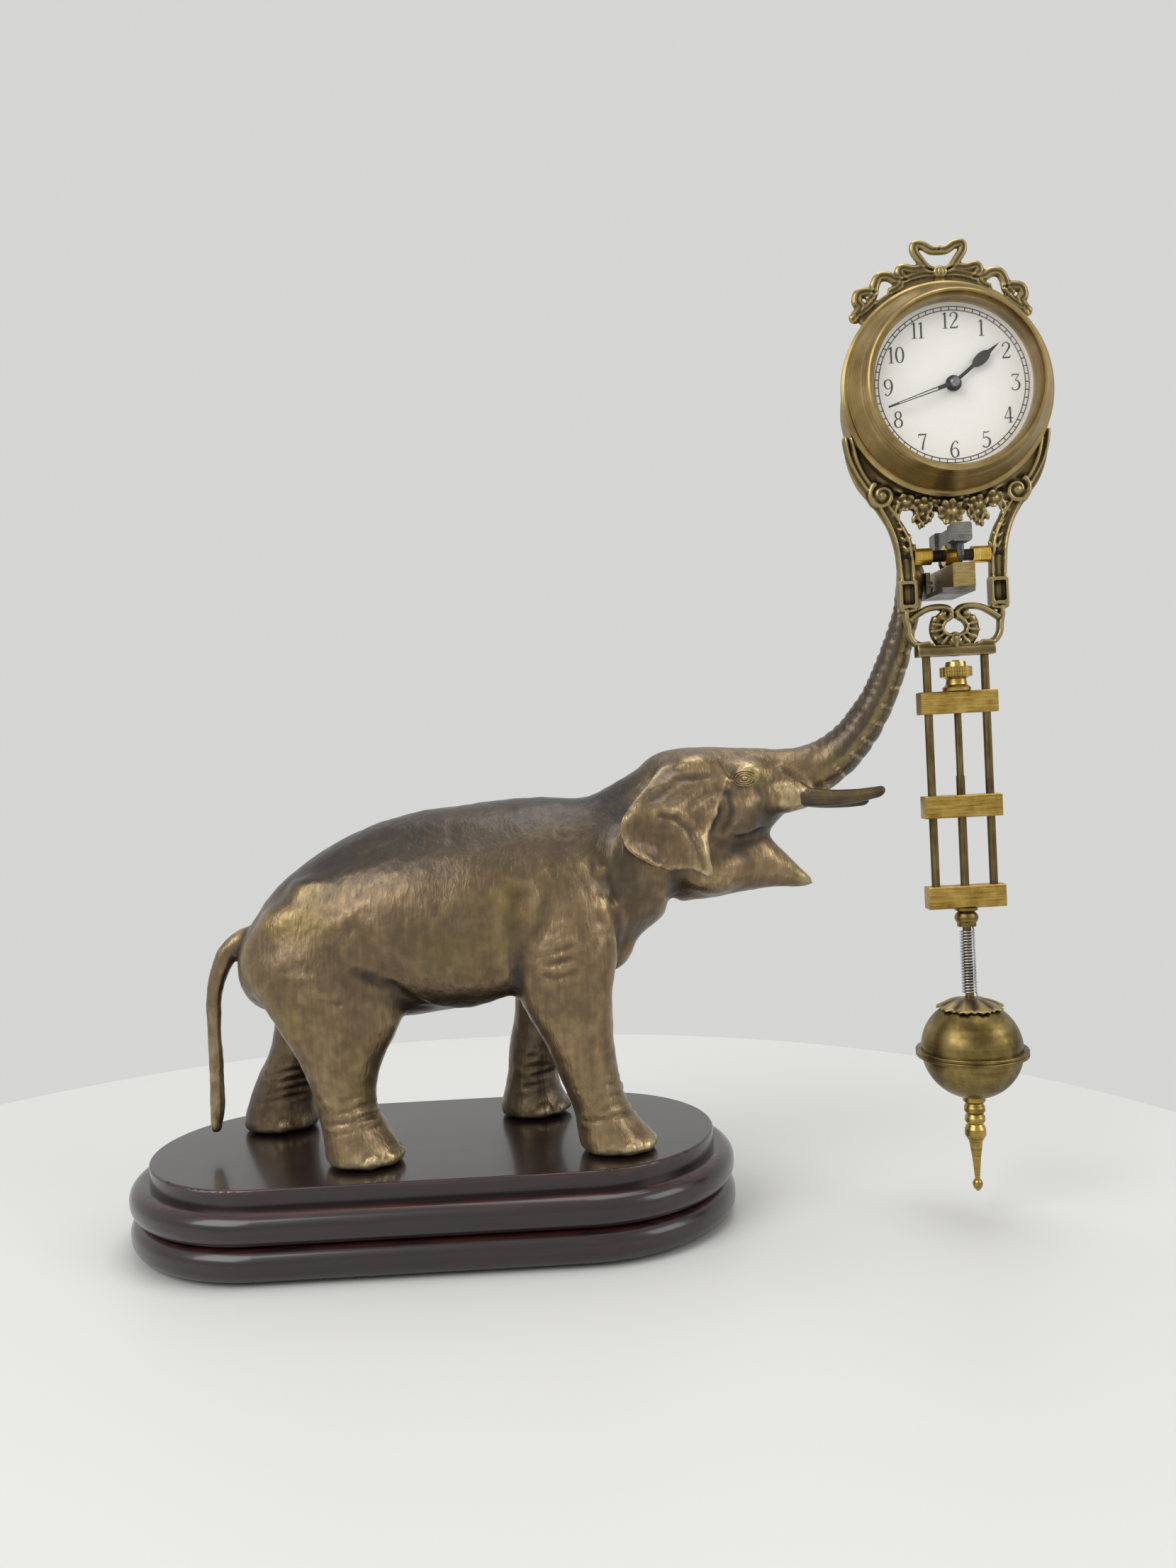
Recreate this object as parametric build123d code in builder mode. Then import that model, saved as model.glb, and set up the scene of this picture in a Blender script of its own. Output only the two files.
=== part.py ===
from build123d import *
import math
import os

os.makedirs("parts", exist_ok=True)

# Frame: origin at the centre of the base's underside, +X along the base towards the clock, -Y towards the
# viewer who reads the dial, +Z up. All sizes are millimetres.

# Fits shared by the pieces
run_gap = 0.05            # radial clearance of a turning or sliding shaft in its bore
loose_gap = 0.3           # room round a piece that passes through another

# Base: two beaded tiers and a top plate of lacquered wood, rounded ends, felt underneath
base_length = 216.0
base_width = 108.0
felt_thickness = 1.0
felt_inset = 8.0
tier_height = 11.5
tier_round = 5.2
top_plate_inset = 7.0
top_plate_height = 6.0
top_plate_arris = 0.8
foot_screw_diameter = 4.0
foot_screw_head_diameter = 7.6
foot_screw_head_height = 3.0
foot_screw_pocket_depth = 6.0
foot_screw_grip = 9.0     # length of thread inside the foot

# Elephant: torso sections as (x, top, bottom, half width)
torso_sections = [
    (-68.0, 107.0, 95.0, 5.0),
    (-61.0, 120.5, 82.0, 17.5),
    (-48.0, 131.0, 77.0, 24.5),
    (-28.0, 140.0, 74.0, 29.0),
    (-6.0, 146.5, 73.5, 32.0),
    (18.0, 149.5, 76.0, 32.5),
    (42.0, 151.0, 80.0, 29.0),
    (60.0, 150.5, 87.0, 24.0),
    (76.0, 156.0, 98.0, 20.0),
    (88.0, 163.5, 107.0, 18.5),
]
torso_sag = 0.1           # how much narrower the torso is above its middle than below it
# Head sections as (x, top, bottom, half width), the last one where the trunk begins
head_sections = [
    (78.0, 154.0, 112.0, 13.0),
    (84.0, 161.0, 112.0, 17.0),
    (94.0, 165.5, 114.0, 18.5),
    (106.0, 165.8, 121.0, 17.5),
    (116.0, 165.0, 130.0, 15.0),
    (126.0, 164.0, 138.0, 12.4),
    (136.0, 163.5, 143.5, 10.4),
]
# Lower jaw sections as (x, top, bottom, half width)
jaw_sections = [
    (94.0, 132.0, 111.0, 9.0),
    (104.0, 134.0, 111.5, 10.5),
    (116.0, 134.0, 113.0, 10.0),
    (126.0, 128.5, 114.0, 7.4),
    (134.0, 121.5, 114.0, 4.8),
    (142.0, 116.2, 113.8, 1.4),
]
# Legs from sole to shoulder as (height above the deck, x, y, half length, half width)
near_hind_leg = [
    (0.0, -21.0, -25.0, 13.0, 12.0),
    (8.0, -22.5, -24.5, 12.4, 11.4),
    (20.0, -27.0, -23.0, 10.2, 10.2),
    (34.0, -29.0, -21.5, 13.4, 11.6),
    (48.0, -31.0, -19.8, 20.0, 13.0),
    (66.0, -36.0, -17.5, 25.0, 13.6),
    (84.0, -40.0, -14.5, 22.0, 12.0),
    (96.0, -41.0, -12.0, 13.0, 8.0),
]
far_hind_leg = [
    (0.0, -61.0, 22.0, 13.2, 12.0),
    (8.0, -60.5, 22.0, 12.4, 11.4),
    (19.0, -58.5, 21.5, 10.8, 10.2),
    (32.0, -53.0, 20.5, 13.6, 11.8),
    (48.0, -46.0, 18.8, 19.0, 13.0),
    (66.0, -41.0, 17.5, 24.0, 13.6),
    (84.0, -41.0, 14.5, 21.0, 12.0),
    (96.0, -41.0, 12.0, 13.0, 8.0),
]
near_front_leg = [
    (0.0, 66.0, -25.0, 13.2, 12.0),
    (7.0, 64.0, -24.6, 12.2, 11.4),
    (16.0, 60.0, -24.0, 9.8, 9.8),
    (38.0, 54.0, -22.6, 12.2, 11.0),
    (52.0, 51.5, -21.5, 15.0, 12.0),
    (68.0, 51.0, -20.0, 18.0, 12.2),
    (88.0, 52.0, -17.5, 17.6, 11.6),
    (108.0, 53.0, -13.0, 9.0, 8.0),
]
far_front_leg = [
    (0.0, 36.0, 23.0, 13.0, 12.0),
    (7.0, 35.8, 23.0, 12.0, 11.4),
    (15.0, 35.5, 22.5, 9.8, 9.8),
    (38.0, 42.0, 21.8, 12.2, 11.0),
    (52.0, 46.0, 20.8, 15.0, 12.0),
    (68.0, 49.0, 19.5, 18.0, 12.2),
    (88.0, 52.0, 17.5, 17.6, 11.6),
    (108.0, 53.0, 13.0, 9.0, 8.0),
]
leg_tables = [near_hind_leg, far_hind_leg, near_front_leg, far_front_leg]
# Trunk centre line from the face to the tip as (x, y, z, radius)
trunk_sections = [
    (145.0, -1.6, 157.0, 9.2),
    (154.0, -4.5, 163.0, 7.9),
    (162.0, -8.0, 173.0, 6.8),
    (168.0, -11.5, 185.0, 5.9),
    (172.5, -14.5, 198.0, 5.2),
    (176.0, -16.8, 210.0, 4.7),
    (177.5, -17.5, 219.0, 4.6),
    (177.6, -17.5, 225.0, 4.3),
]
ear_thickness = 3.0
ear_stand_off = 16.6      # distance of the ear's inner face from the middle of the head
ear_splay = 14.0          # degrees that the ear's rear edge stands away from the neck
ear_outline = [
    (104.0, 160.0),
    (87.0, 163.0),
    (72.0, 152.0),
    (71.0, 137.0),
    (84.0, 124.0),
    (101.0, 121.0),
    (99.0, 138.0),
]
tusk_start = (128.0, 10.0, 148.5)
tusk_bend = (148.0, 13.0, 145.0)
tusk_end = (166.0, 12.0, 147.0)
tusk_radii = (4.0, 3.4, 2.2)
tail_points = [
    (-62.0, 0.0, 108.0),
    (-74.0, -1.0, 101.0),
    (-77.5, -2.0, 84.0),
    (-77.0, -2.5, 62.0),
    (-79.5, -3.0, 37.0),
]
tail_root_radius = 4.2
tail_tip_radius = 1.6

# Swinging clock: the point where the two pins rest, half way between them
pivot_x = 189.0
pivot_y = -26.0
pivot_z = 222.0

# Trunk bracket, cup block and pins
pin_spacing = 20.0
pin_diameter = 2.4
pin_point_length = 3.5
pin_top_height = 12.5
cup_depth = 1.0
cup_clearance = 0.05
cup_block_width = 7.4
cup_block_length = 26.0
cup_block_height = 8.0
cup_block_round = 0.6
bracket_thickness = 1.5
bracket_set_back = 0.5    # the cup block stands this far in front of the plate
bracket_flange_x = -7.3   # knob side of the flange, from the pivot
bracket_flange_width = 7.0
bracket_flange_height = 9.0
bracket_screw_diameter = 2.0
bracket_screw_head_diameter = 4.0
bracket_screw_head_height = 1.3
bracket_screw_length = 6.0

# Carrier that joins the pins and turns on the cross shaft
carrier_block_width = 6.4
carrier_block_height = 6.2
carrier_block_depth = 6.0
carrier_bottom = 8.0
carrier_web_width = 4.4
carrier_web_drop = 1.5
carrier_web_height = 6.9
carrier_chamfer = 0.5
shaft_height = 5.2
shaft_diameter = 4.0
bush_diameter = 7.0
bush_length = 5.0
collar_diameter = 5.8
collar_length = 6.0

# Clock head
rim_bottom = 24.4         # lowest point of the bezel above the pins
bezel_radius = 36.0
dial_height = rim_bottom + bezel_radius      # dial centre above the pins
drum_radius = bezel_radius - 6.0
drum_wall = 1.2
drum_front = 8.8          # distances along the dial axis, towards the viewer, from the pins' plane
drum_rear = -22.8
cover_thickness = 1.2
cover_lip_depth = 3.0
cover_lip_wall = 1.0
bezel_rear = 2.2
bezel_front = 15.6
glass_radius = bezel_radius - 7.5
glass_seat = 13.8
glass_thickness = 1.2
glass_rise = 3.0
dial_thickness = 0.8
dial_lip_radius = glass_radius - 1.2
dial_foot_diameter = 2.0
dial_foot_circle = drum_radius - 6.5
hour_hand_length = 20.5
minute_hand_length = 23.4
hand_thickness = 0.4
hour_hand_front = 10.6
minute_hand_front = 11.9
hour_hand_angle = 51.0    # degrees clockwise from twelve, reading 1:42
minute_hand_angle = 252.0

# Movement
plate_radius = drum_radius - drum_wall - run_gap
rear_plate_radius = plate_radius - 2.8
plate_thickness = 1.6
front_plate_front = 0.0
rear_plate_front = -15.4
shoulder_depth = 1.3
pillar_diameter = 4.0
pillar_circle = rear_plate_radius - 1.95
gear_module = 0.5
tooth_addendum = 0.72     # in modules
tooth_dedendum = 1.15
tooth_root = 0.24         # half thickness of a tooth at root, pitch circle and tip, in pitches
tooth_pitch = 0.17
tooth_tip = 0.09
barrel_module = 0.4
cannon_teeth = 10
minute_wheel_teeth = 30
minute_pinion_teeth = 8
hour_wheel_teeth = 32
centre_pinion_teeth = 12
barrel_teeth = 48
gear_width = 1.5
first_gear_rear = 0.6
second_gear_rear = 2.5
arbor_diameter = 1.8
stud_radius = 0.8         # fixed stud that the minute wheel turns on
end_play = 0.3
hour_pipe_wall = 0.7
barrel_radius = 8.6
barrel_rear = -13.2
barrel_front = -4.2
barrel_arbor_diameter = 3.0
balance_height = 13.0
balance_radius = 8.0
balance_rim = 1.4
balance_arm = 1.6
balance_front = -6.0
balance_thickness = 1.2
set_knob_diameter = 7.0
set_knob_length = 5.0
set_knob_flutes = 18
set_knob_flute_radius = 0.35
key_wing_width = 15.0
key_wing_height = 10.0
key_thickness = 2.0
key_reach = 12.0
key_socket_radius = 2.7
key_wing_overlap = 1.0    # how far the wings run into the socket

# Frame casting
frame_thickness = 4.4
cradle_outer_radius = bezel_radius + 1.5
cradle_drop = 13.4        # ends of the cradle below the dial's centre
cradle_top = dial_height - cradle_drop
arm_outer_end = (124.0, 4.2)      # degrees from the top of the dial, and how far beyond the rim
arm_inner_end = (133.0, -0.4)
arm_inner = 13.0
arm_outer = 18.2
foot_bottom = -13.0
foot_half_width = 3.2
foot_panel_top = -2.6
foot_panel_thickness = 5.6
volute_x = 22.8
volute_z = 26.8
volute_radius = 5.4
flower_z = 20.2
flower_radius = 4.2
crest_thickness = 3.4
crest_outer_radius = bezel_radius + 2.5
crest_half_angle = 48.0
crest_stroke = 2.4
crest_knot = (0.0, 4.0)           # degrees from the top of the dial, and how far beyond the rim
crest_bow = [crest_knot, (7.2, 9.2), (9.4, 13.1), (5.1, 13.2), (0.0, 11.6)]
crest_ribbon = [crest_knot, (8.3, 6.5), (15.7, 5.8), (20.4, 5.8), (25.7, 6.2), (30.6, 3.9), (38.9, 3.8)]
crest_curl = (23.4, 3.2)
crest_curl_radius = 4.0
crest_curl_eye = 1.8
crest_end = (41.3, 1.6)
crest_end_radius = 2.8
crest_knot_radius = 2.8
crest_knot_proud = 0.8

# Pendulum, heights below the pins
lyre_top = -13.0
lyre_bottom = -29.0
lyre_thickness = 4.0
lyre_plate_half_width = 13.2
lyre_plate_height = 4.6
rod_diameter = 2.8
rod_x = 10.0
bar_half_width = 13.2
bar_height = 7.6
bar_depth = 6.0
top_bar_top = -41.0
middle_bar_top = -76.5
bottom_bar_top = -107.5
centre_rod_thin_diameter = 2.4
centre_rod_diameter = 2.9
centre_rod_step = -70.0
centre_rod_top = -30.5
nut_height = 10.0
nut_knurl_radius = 5.4
neck_length = 6.5
neck_radius = 4.0
spring_radius = 2.35      # middle of the wire
spring_wire = 0.5
spring_turns = 22
spring_length = 24.5
ball_radius = 17.0
ball_flange_radius = 18.8
ball_flange_thickness = 1.2
cap_thickness = 0.8
cap_radius = 10.8
cap_scallops = 9
finial_length = 33.0
bob_lift = 3.0            # how far the rating nut can raise the bob

# Heights and places that follow from the sizes above
lower_tier_bottom = felt_thickness
upper_tier_bottom = lower_tier_bottom + tier_height
top_plate_bottom = upper_tier_bottom + tier_height
deck = top_plate_bottom + top_plate_height
dial_z = pivot_z + dial_height
foot_points = [(leg[0][1], leg[0][2]) for leg in leg_tables]


def front_plane(n=0.0, height=0.0):
    """Plane parallel to the dial, n towards the viewer from the pins, its origin above the pivot."""
    origin = (pivot_x, pivot_y - n, pivot_z + height)
    return Plane(origin=origin, x_dir=(1, 0, 0), z_dir=(0, -1, 0))


def dial_plane(n=0.0):
    """Plane parallel to the dial with its origin on the dial's axis."""
    return front_plane(n, dial_height)


def rim_point(place, side):
    """A point beside the bezel, from the dial's centre: degrees from the top and the reach beyond the rim."""
    turn, beyond = place
    reach = bezel_radius + beyond
    return side * reach * math.sin(math.radians(turn)), reach * math.cos(math.radians(turn))


def arm_end(place, side):
    """A point beside the bezel, from the pins."""
    across, rise = rim_point(place, side)
    return across, dial_height + rise


# Profile plane of what is turned about the dial's axis: x outwards, y towards the viewer
dial_turning = Plane(origin=(pivot_x, pivot_y, dial_z), x_dir=(1, 0, 0), z_dir=(0, 0, -1))
dial_axis = Axis((pivot_x, pivot_y, dial_z), (0, -1, 0))
# Profile plane of what is turned about the pendulum's upright axis: x outwards, y up
upright_turning = front_plane()
upright_axis = Axis((pivot_x, pivot_y, pivot_z), (0, 0, 1))


def save(builder, name):
    """Label a finished piece and write its STEP file."""
    builder.part.label = name
    export_step(builder.part, f"parts/{name}.step")


def oval_points(half_across, half_up, sag):
    """Eight points round an oval, for a closed smooth section; sag narrows its upper half."""
    points = []
    for step in range(8):
        turn = math.pi * step / 4
        points.append((half_across * math.cos(turn) * (1 - sag * math.sin(turn)), half_up * math.sin(turn)))
    return points


def oval(plane, half_across, half_up, sag=0.0):
    """A filled oval on the plane, one section of a loft."""
    with BuildSketch(plane) as section:
        with BuildLine():
            Spline(*oval_points(half_across, half_up, sag), periodic=True)
        make_face()
    return section.sketch.face()


def turned(axis, plane, outline):
    """A body of revolution from a closed outline of (radius, along) points."""
    with BuildPart() as body:
        with BuildSketch(plane):
            with BuildLine():
                Polyline(*outline, close=True)
            make_face()
        revolve(axis=axis)
    return body.part


# Base
with BuildPart() as felt_pad:
    with BuildSketch():
        SlotOverall(base_length - 2 * felt_inset, base_width - 2 * felt_inset)
    extrude(amount=felt_thickness)
save(felt_pad, "felt_pad")


def beaded_tier(bottom):
    """One bead layer: a long slot shape whose edges are rounded over."""
    with BuildPart() as tier:
        with BuildSketch(Plane.XY.offset(bottom)):
            SlotOverall(base_length, base_width)
        extrude(amount=tier_height)
        rims = tier.edges().group_by(Axis.Z)
        fillet(rims[0] + rims[-1], tier_round)
    return tier.part


with BuildPart() as base_lower_tier:
    add(beaded_tier(lower_tier_bottom))
    with Locations(*[(x, y, lower_tier_bottom) for x, y in foot_points]):
        Cylinder(foot_screw_diameter / 2 + loose_gap, tier_height,
                 align=(Align.CENTER, Align.CENTER, Align.MIN), mode=Mode.SUBTRACT)
        Cylinder(foot_screw_head_diameter / 2 + loose_gap, foot_screw_pocket_depth,
                 align=(Align.CENTER, Align.CENTER, Align.MIN), mode=Mode.SUBTRACT)
save(base_lower_tier, "base_lower_tier")

with BuildPart() as base_upper_tier:
    add(beaded_tier(upper_tier_bottom))
    with Locations(*[(x, y, upper_tier_bottom) for x, y in foot_points]):
        Cylinder(foot_screw_diameter / 2 + loose_gap, tier_height,
                 align=(Align.CENTER, Align.CENTER, Align.MIN), mode=Mode.SUBTRACT)
save(base_upper_tier, "base_upper_tier")

with BuildPart() as base_top_plate:
    with BuildSketch(Plane.XY.offset(top_plate_bottom)):
        SlotOverall(base_length - 2 * top_plate_inset, base_width - 2 * top_plate_inset)
    extrude(amount=top_plate_height)
    fillet(edges().group_by(Axis.Z)[-1], top_plate_arris)
    with Locations(*[(x, y, top_plate_bottom) for x, y in foot_points]):
        Cylinder(foot_screw_diameter / 2 + loose_gap, top_plate_height,
                 align=(Align.CENTER, Align.CENTER, Align.MIN), mode=Mode.SUBTRACT)
save(base_top_plate, "base_top_plate")

with BuildPart() as foot_screws:
    head_top = lower_tier_bottom + foot_screw_pocket_depth
    with Locations(*[(x, y, head_top) for x, y in foot_points]):
        Cylinder(foot_screw_head_diameter / 2, foot_screw_head_height,
                 align=(Align.CENTER, Align.CENTER, Align.MAX))
        Cylinder(foot_screw_diameter / 2, deck - head_top + foot_screw_grip,
                 align=(Align.CENTER, Align.CENTER, Align.MIN))
save(foot_screws, "foot_screws")


def body_section(x, top, bottom, half_width, sag=0.0):
    """An upright oval across the body at x."""
    middle = Plane(origin=(x, 0, (top + bottom) / 2), x_dir=(0, 1, 0), z_dir=(1, 0, 0))
    return oval(middle, half_width, (top - bottom) / 2, sag)


def leg_section(height, x, y, half_length, half_width):
    """A level oval through a leg, at a height above the deck."""
    return oval(Plane(origin=(x, y, deck + height)), half_length, half_width)


# Elephant body: torso, head, jaw and legs cast in one
with BuildPart() as elephant_body:
    loft(sections=[body_section(*section, torso_sag) for section in torso_sections])
    loft(sections=[body_section(*section) for section in head_sections])
    loft(sections=[body_section(*section) for section in jaw_sections])
    for leg in leg_tables:
        loft(sections=[leg_section(*section) for section in leg])
    with Locations(*[(x, y, deck) for x, y in foot_points]):
        Cylinder(foot_screw_diameter / 2 + run_gap, foot_screw_grip + loose_gap,
                 align=(Align.CENTER, Align.CENTER, Align.MIN), mode=Mode.SUBTRACT)

# Trunk: a tapering limb from the face up to the bracket's flat
with BuildPart() as trunk_blank:
    face_x, face_top, face_bottom, face_half_width = head_sections[-1]
    spine = [Vector(face_x, 0, (face_top + face_bottom) / 2)]
    spine += [Vector(x, y, z) for x, y, z, radius in trunk_sections]
    rings = [body_section(*head_sections[-1])]
    for step, (x, y, z, radius) in enumerate(trunk_sections, start=1):
        along = spine[min(step + 1, len(trunk_sections))] - spine[step - 1]
        rings.append(oval(Plane(origin=(x, y, z), x_dir=(0, 1, 0), z_dir=along), radius, radius))
    loft(sections=rings)
    tip_x, tip_y, tip_z, tip_radius = trunk_sections[-1]
    with Locations((pivot_x + bracket_flange_x, tip_y, tip_z)):
        Box(3 * tip_radius, 4 * tip_radius, 2 * cup_block_length,
            align=(Align.MIN, Align.CENTER, Align.CENTER), mode=Mode.SUBTRACT)

cup_block_top = cup_depth - cup_clearance
cup_block_bottom = cup_block_top - cup_block_height
screw_x = pivot_x + bracket_flange_x + bracket_thickness
screw_z = pivot_z + cup_block_bottom + bracket_flange_height / 2 - bracket_thickness
screw_plane = Plane(origin=(screw_x, tip_y, screw_z), z_dir=(-1, 0, 0))
with BuildPart() as bracket_screw:
    with BuildSketch(screw_plane):
        Circle(bracket_screw_head_diameter / 2)
    extrude(amount=-bracket_screw_head_height)
    with BuildSketch(screw_plane):
        Circle(bracket_screw_diameter / 2)
    extrude(amount=bracket_screw_length)
save(bracket_screw, "bracket_screw")

with BuildPart() as bracket_screw_hole:
    with BuildSketch(screw_plane):
        Circle(bracket_screw_diameter / 2 + run_gap)
    extrude(amount=bracket_screw_length + loose_gap)

with BuildPart() as trunk:
    add(trunk_blank.part)
    add(bracket_screw_hole.part, mode=Mode.SUBTRACT)
save(trunk, "trunk")


# Ears: curved flaps that stand off the neck
def ear(side):
    """One ear on the given side of the head, near side -1, far side +1, before the neck is cut away."""
    hinge_x, hinge_z = ear_outline[0]
    splay = math.radians(ear_splay)
    along = (-math.cos(splay), side * math.sin(splay), 0)
    outwards = (math.sin(splay), side * math.cos(splay), 0)
    inner = Plane(origin=(hinge_x, side * ear_stand_off, 0), x_dir=along, z_dir=outwards)
    rise = inner.y_dir.Z
    with BuildPart() as flap:
        with BuildSketch(inner):
            with BuildLine():
                Spline(*[(hinge_x - x, rise * z) for x, z in ear_outline], periodic=True)
            make_face()
        extrude(amount=ear_thickness)
        fillet(flap.edges(), ear_thickness / 4)
    return flap.part


with BuildPart() as right_ear:
    add(ear(-1))
    add(elephant_body.part, mode=Mode.SUBTRACT)
save(right_ear, "right_ear")

with BuildPart() as left_ear:
    add(ear(1))
    add(elephant_body.part, mode=Mode.SUBTRACT)
save(left_ear, "left_ear")


# Tusks: short curved cones set into the cheeks
def tusk_rings(side):
    """The three rings of the tusk on the given side."""
    points = [Vector(x, side * y, z) for x, y, z in (tusk_start, tusk_bend, tusk_end)]
    rings = []
    for step, radius in enumerate(tusk_radii):
        along = points[min(step + 1, 2)] - points[max(step - 1, 0)]
        rings.append(oval(Plane(origin=points[step], x_dir=(0, 1, 0), z_dir=along), radius, radius))
    return rings


with BuildPart() as right_tusk:
    loft(sections=tusk_rings(-1))
    add(elephant_body.part, mode=Mode.SUBTRACT)
    add(trunk.part, mode=Mode.SUBTRACT)
save(right_tusk, "right_tusk")

with BuildPart() as left_tusk:
    loft(sections=tusk_rings(1))
    add(elephant_body.part, mode=Mode.SUBTRACT)
    add(trunk.part, mode=Mode.SUBTRACT)
save(left_tusk, "left_tusk")

# Tail: a tapering hanging tail that ends just above the deck
with BuildPart() as tail:
    points = [Vector(*point) for point in tail_points]
    last = len(points) - 1
    rings = []
    for step, point in enumerate(points):
        along = points[min(step + 1, last)] - points[max(step - 1, 0)]
        radius = tail_root_radius + (tail_tip_radius - tail_root_radius) * step / last
        rings.append(oval(Plane(origin=point, x_dir=(0, 1, 0), z_dir=along), radius, radius))
    loft(sections=rings)
    add(elephant_body.part, mode=Mode.SUBTRACT)
save(tail, "tail")
save(elephant_body, "elephant_body")

# Cup block and bracket at the trunk's tip
with BuildPart() as cup_block:
    with BuildSketch(front_plane(cup_block_length / 2, cup_block_bottom)):
        Rectangle(cup_block_width, cup_block_height, align=(Align.CENTER, Align.MIN))
    extrude(amount=-cup_block_length)
    fillet(edges().filter_by(Axis.Y).group_by(Axis.Z)[-1], cup_block_round)
    for n in (-pin_spacing / 2, pin_spacing / 2):
        with Locations((pivot_x, pivot_y - n, pivot_z + cup_block_top)):
            Cone(0, cup_depth, cup_depth, align=(Align.CENTER, Align.CENTER, Align.MAX), mode=Mode.SUBTRACT)
save(cup_block, "cup_block")

with BuildPart() as trunk_bracket:
    plate_top = pivot_z + cup_block_bottom
    plate_rear = tip_y + bracket_flange_width / 2
    plate_front = pivot_y - cup_block_length / 2 + bracket_set_back
    with Locations((pivot_x + bracket_flange_x, plate_rear, plate_top)):
        Box(cup_block_width / 2 - bracket_flange_x, plate_rear - plate_front, bracket_thickness,
            align=(Align.MIN, Align.MAX, Align.MAX))
        Box(bracket_thickness, bracket_flange_width, bracket_flange_height - bracket_thickness,
            align=(Align.MIN, Align.MAX, Align.MIN))
    add(bracket_screw_hole.part, mode=Mode.SUBTRACT)
    with BuildSketch(screw_plane):
        Circle(bracket_screw_diameter / 2 + run_gap)
    extrude(amount=bracket_thickness, mode=Mode.SUBTRACT)
save(trunk_bracket, "trunk_bracket")


# Pin carrier, its bush, the two pins, the cross shaft and its collars
half_spacing = pin_spacing / 2
shaft_plane = Plane(origin=(pivot_x, pivot_y, pivot_z + shaft_height), z_dir=(1, 0, 0))


def shaft_ring(outer, inner, start, length):
    """A ring round the cross shaft's axis, from start along +X."""
    with BuildPart() as ring:
        with BuildSketch(shaft_plane.offset(start)):
            Circle(outer)
            if inner > 0:
                Circle(inner, mode=Mode.SUBTRACT)
        extrude(amount=length)
    return ring.part


def pin_at(n):
    """One pointed steel pin, its tip at the pivot's height."""
    with BuildPart() as pin:
        axis_point = (pivot_x, pivot_y - n, pivot_z)
        with BuildSketch(Plane(origin=axis_point, x_dir=(1, 0, 0), z_dir=(0, -1, 0))):
            with BuildLine():
                Polyline((0, 0), (pin_diameter / 2, pin_point_length), (pin_diameter / 2, pin_top_height),
                         (0, pin_top_height), close=True)
            make_face()
        revolve(axis=Axis(axis_point, (0, 0, 1)))
    return pin.part


with BuildPart() as front_pin:
    add(pin_at(half_spacing))
save(front_pin, "front_pin")

with BuildPart() as rear_pin:
    add(pin_at(-half_spacing))
save(rear_pin, "rear_pin")

with BuildPart() as pin_carrier:
    block_bottom = pivot_z + carrier_bottom
    with Locations(*[(pivot_x, pivot_y - n, block_bottom) for n in (-half_spacing, half_spacing)]):
        Box(carrier_block_width, carrier_block_depth, carrier_block_height,
            align=(Align.CENTER, Align.CENTER, Align.MIN))
    chamfer(edges().filter_by(Axis.Y), carrier_chamfer)
    with Locations((pivot_x, pivot_y, pivot_z + carrier_bottom - carrier_web_drop)):
        Box(carrier_web_width, pin_spacing - carrier_block_depth, carrier_web_height,
            align=(Align.CENTER, Align.CENTER, Align.MIN))
    add(shaft_ring(bush_diameter / 2, 0, -bush_length, 2 * bush_length), mode=Mode.SUBTRACT)
    add(front_pin.part, mode=Mode.SUBTRACT)
    add(rear_pin.part, mode=Mode.SUBTRACT)
save(pin_carrier, "pin_carrier")

with BuildPart() as carrier_bush:
    add(shaft_ring(bush_diameter / 2, shaft_diameter / 2 + run_gap, -bush_length / 2, bush_length))
save(carrier_bush, "carrier_bush")

with BuildPart() as cross_shaft:
    add(shaft_ring(shaft_diameter / 2, 0, -arm_outer, 2 * arm_outer))
save(cross_shaft, "cross_shaft")

with BuildPart() as shaft_collars:
    add(shaft_ring(collar_diameter / 2, shaft_diameter / 2, -arm_inner, collar_length))
    add(shaft_ring(collar_diameter / 2, shaft_diameter / 2, arm_inner - collar_length, collar_length))
save(shaft_collars, "shaft_collars")

# Drum case, back cover, bezel, glass and dial
drum_bore = drum_radius - drum_wall
shoulder_front = front_plate_front - plate_thickness
with BuildPart() as drum_case:
    add(turned(dial_axis, dial_turning, [
        (drum_bore, drum_rear), (drum_radius, drum_rear), (drum_radius, drum_front), (drum_bore, drum_front),
        (drum_bore, shoulder_front), (drum_bore - shoulder_depth, shoulder_front),
        (drum_bore - shoulder_depth, shoulder_front - plate_thickness),
        (drum_bore, shoulder_front - plate_thickness),
    ]))
save(drum_case, "drum_case")

barrel_centre = -barrel_module * (centre_pinion_teeth + barrel_teeth) / 2
lip_radius = drum_bore - run_gap
with BuildPart() as back_cover:
    add(turned(dial_axis, dial_turning, [
        (0, drum_rear - cover_thickness), (drum_radius, drum_rear - cover_thickness),
        (drum_radius, drum_rear), (lip_radius, drum_rear), (lip_radius, drum_rear + cover_lip_depth),
        (lip_radius - cover_lip_wall, drum_rear + cover_lip_depth), (lip_radius - cover_lip_wall, drum_rear),
        (0, drum_rear),
    ]))
    with BuildSketch(dial_plane(drum_rear)):
        Circle(arbor_diameter / 2 + loose_gap)
        with Locations((0, barrel_centre)):
            Circle(barrel_arbor_diameter / 2 + loose_gap)
    extrude(amount=-2 * cover_thickness, both=True, mode=Mode.SUBTRACT)
save(back_cover, "back_cover")

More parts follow.
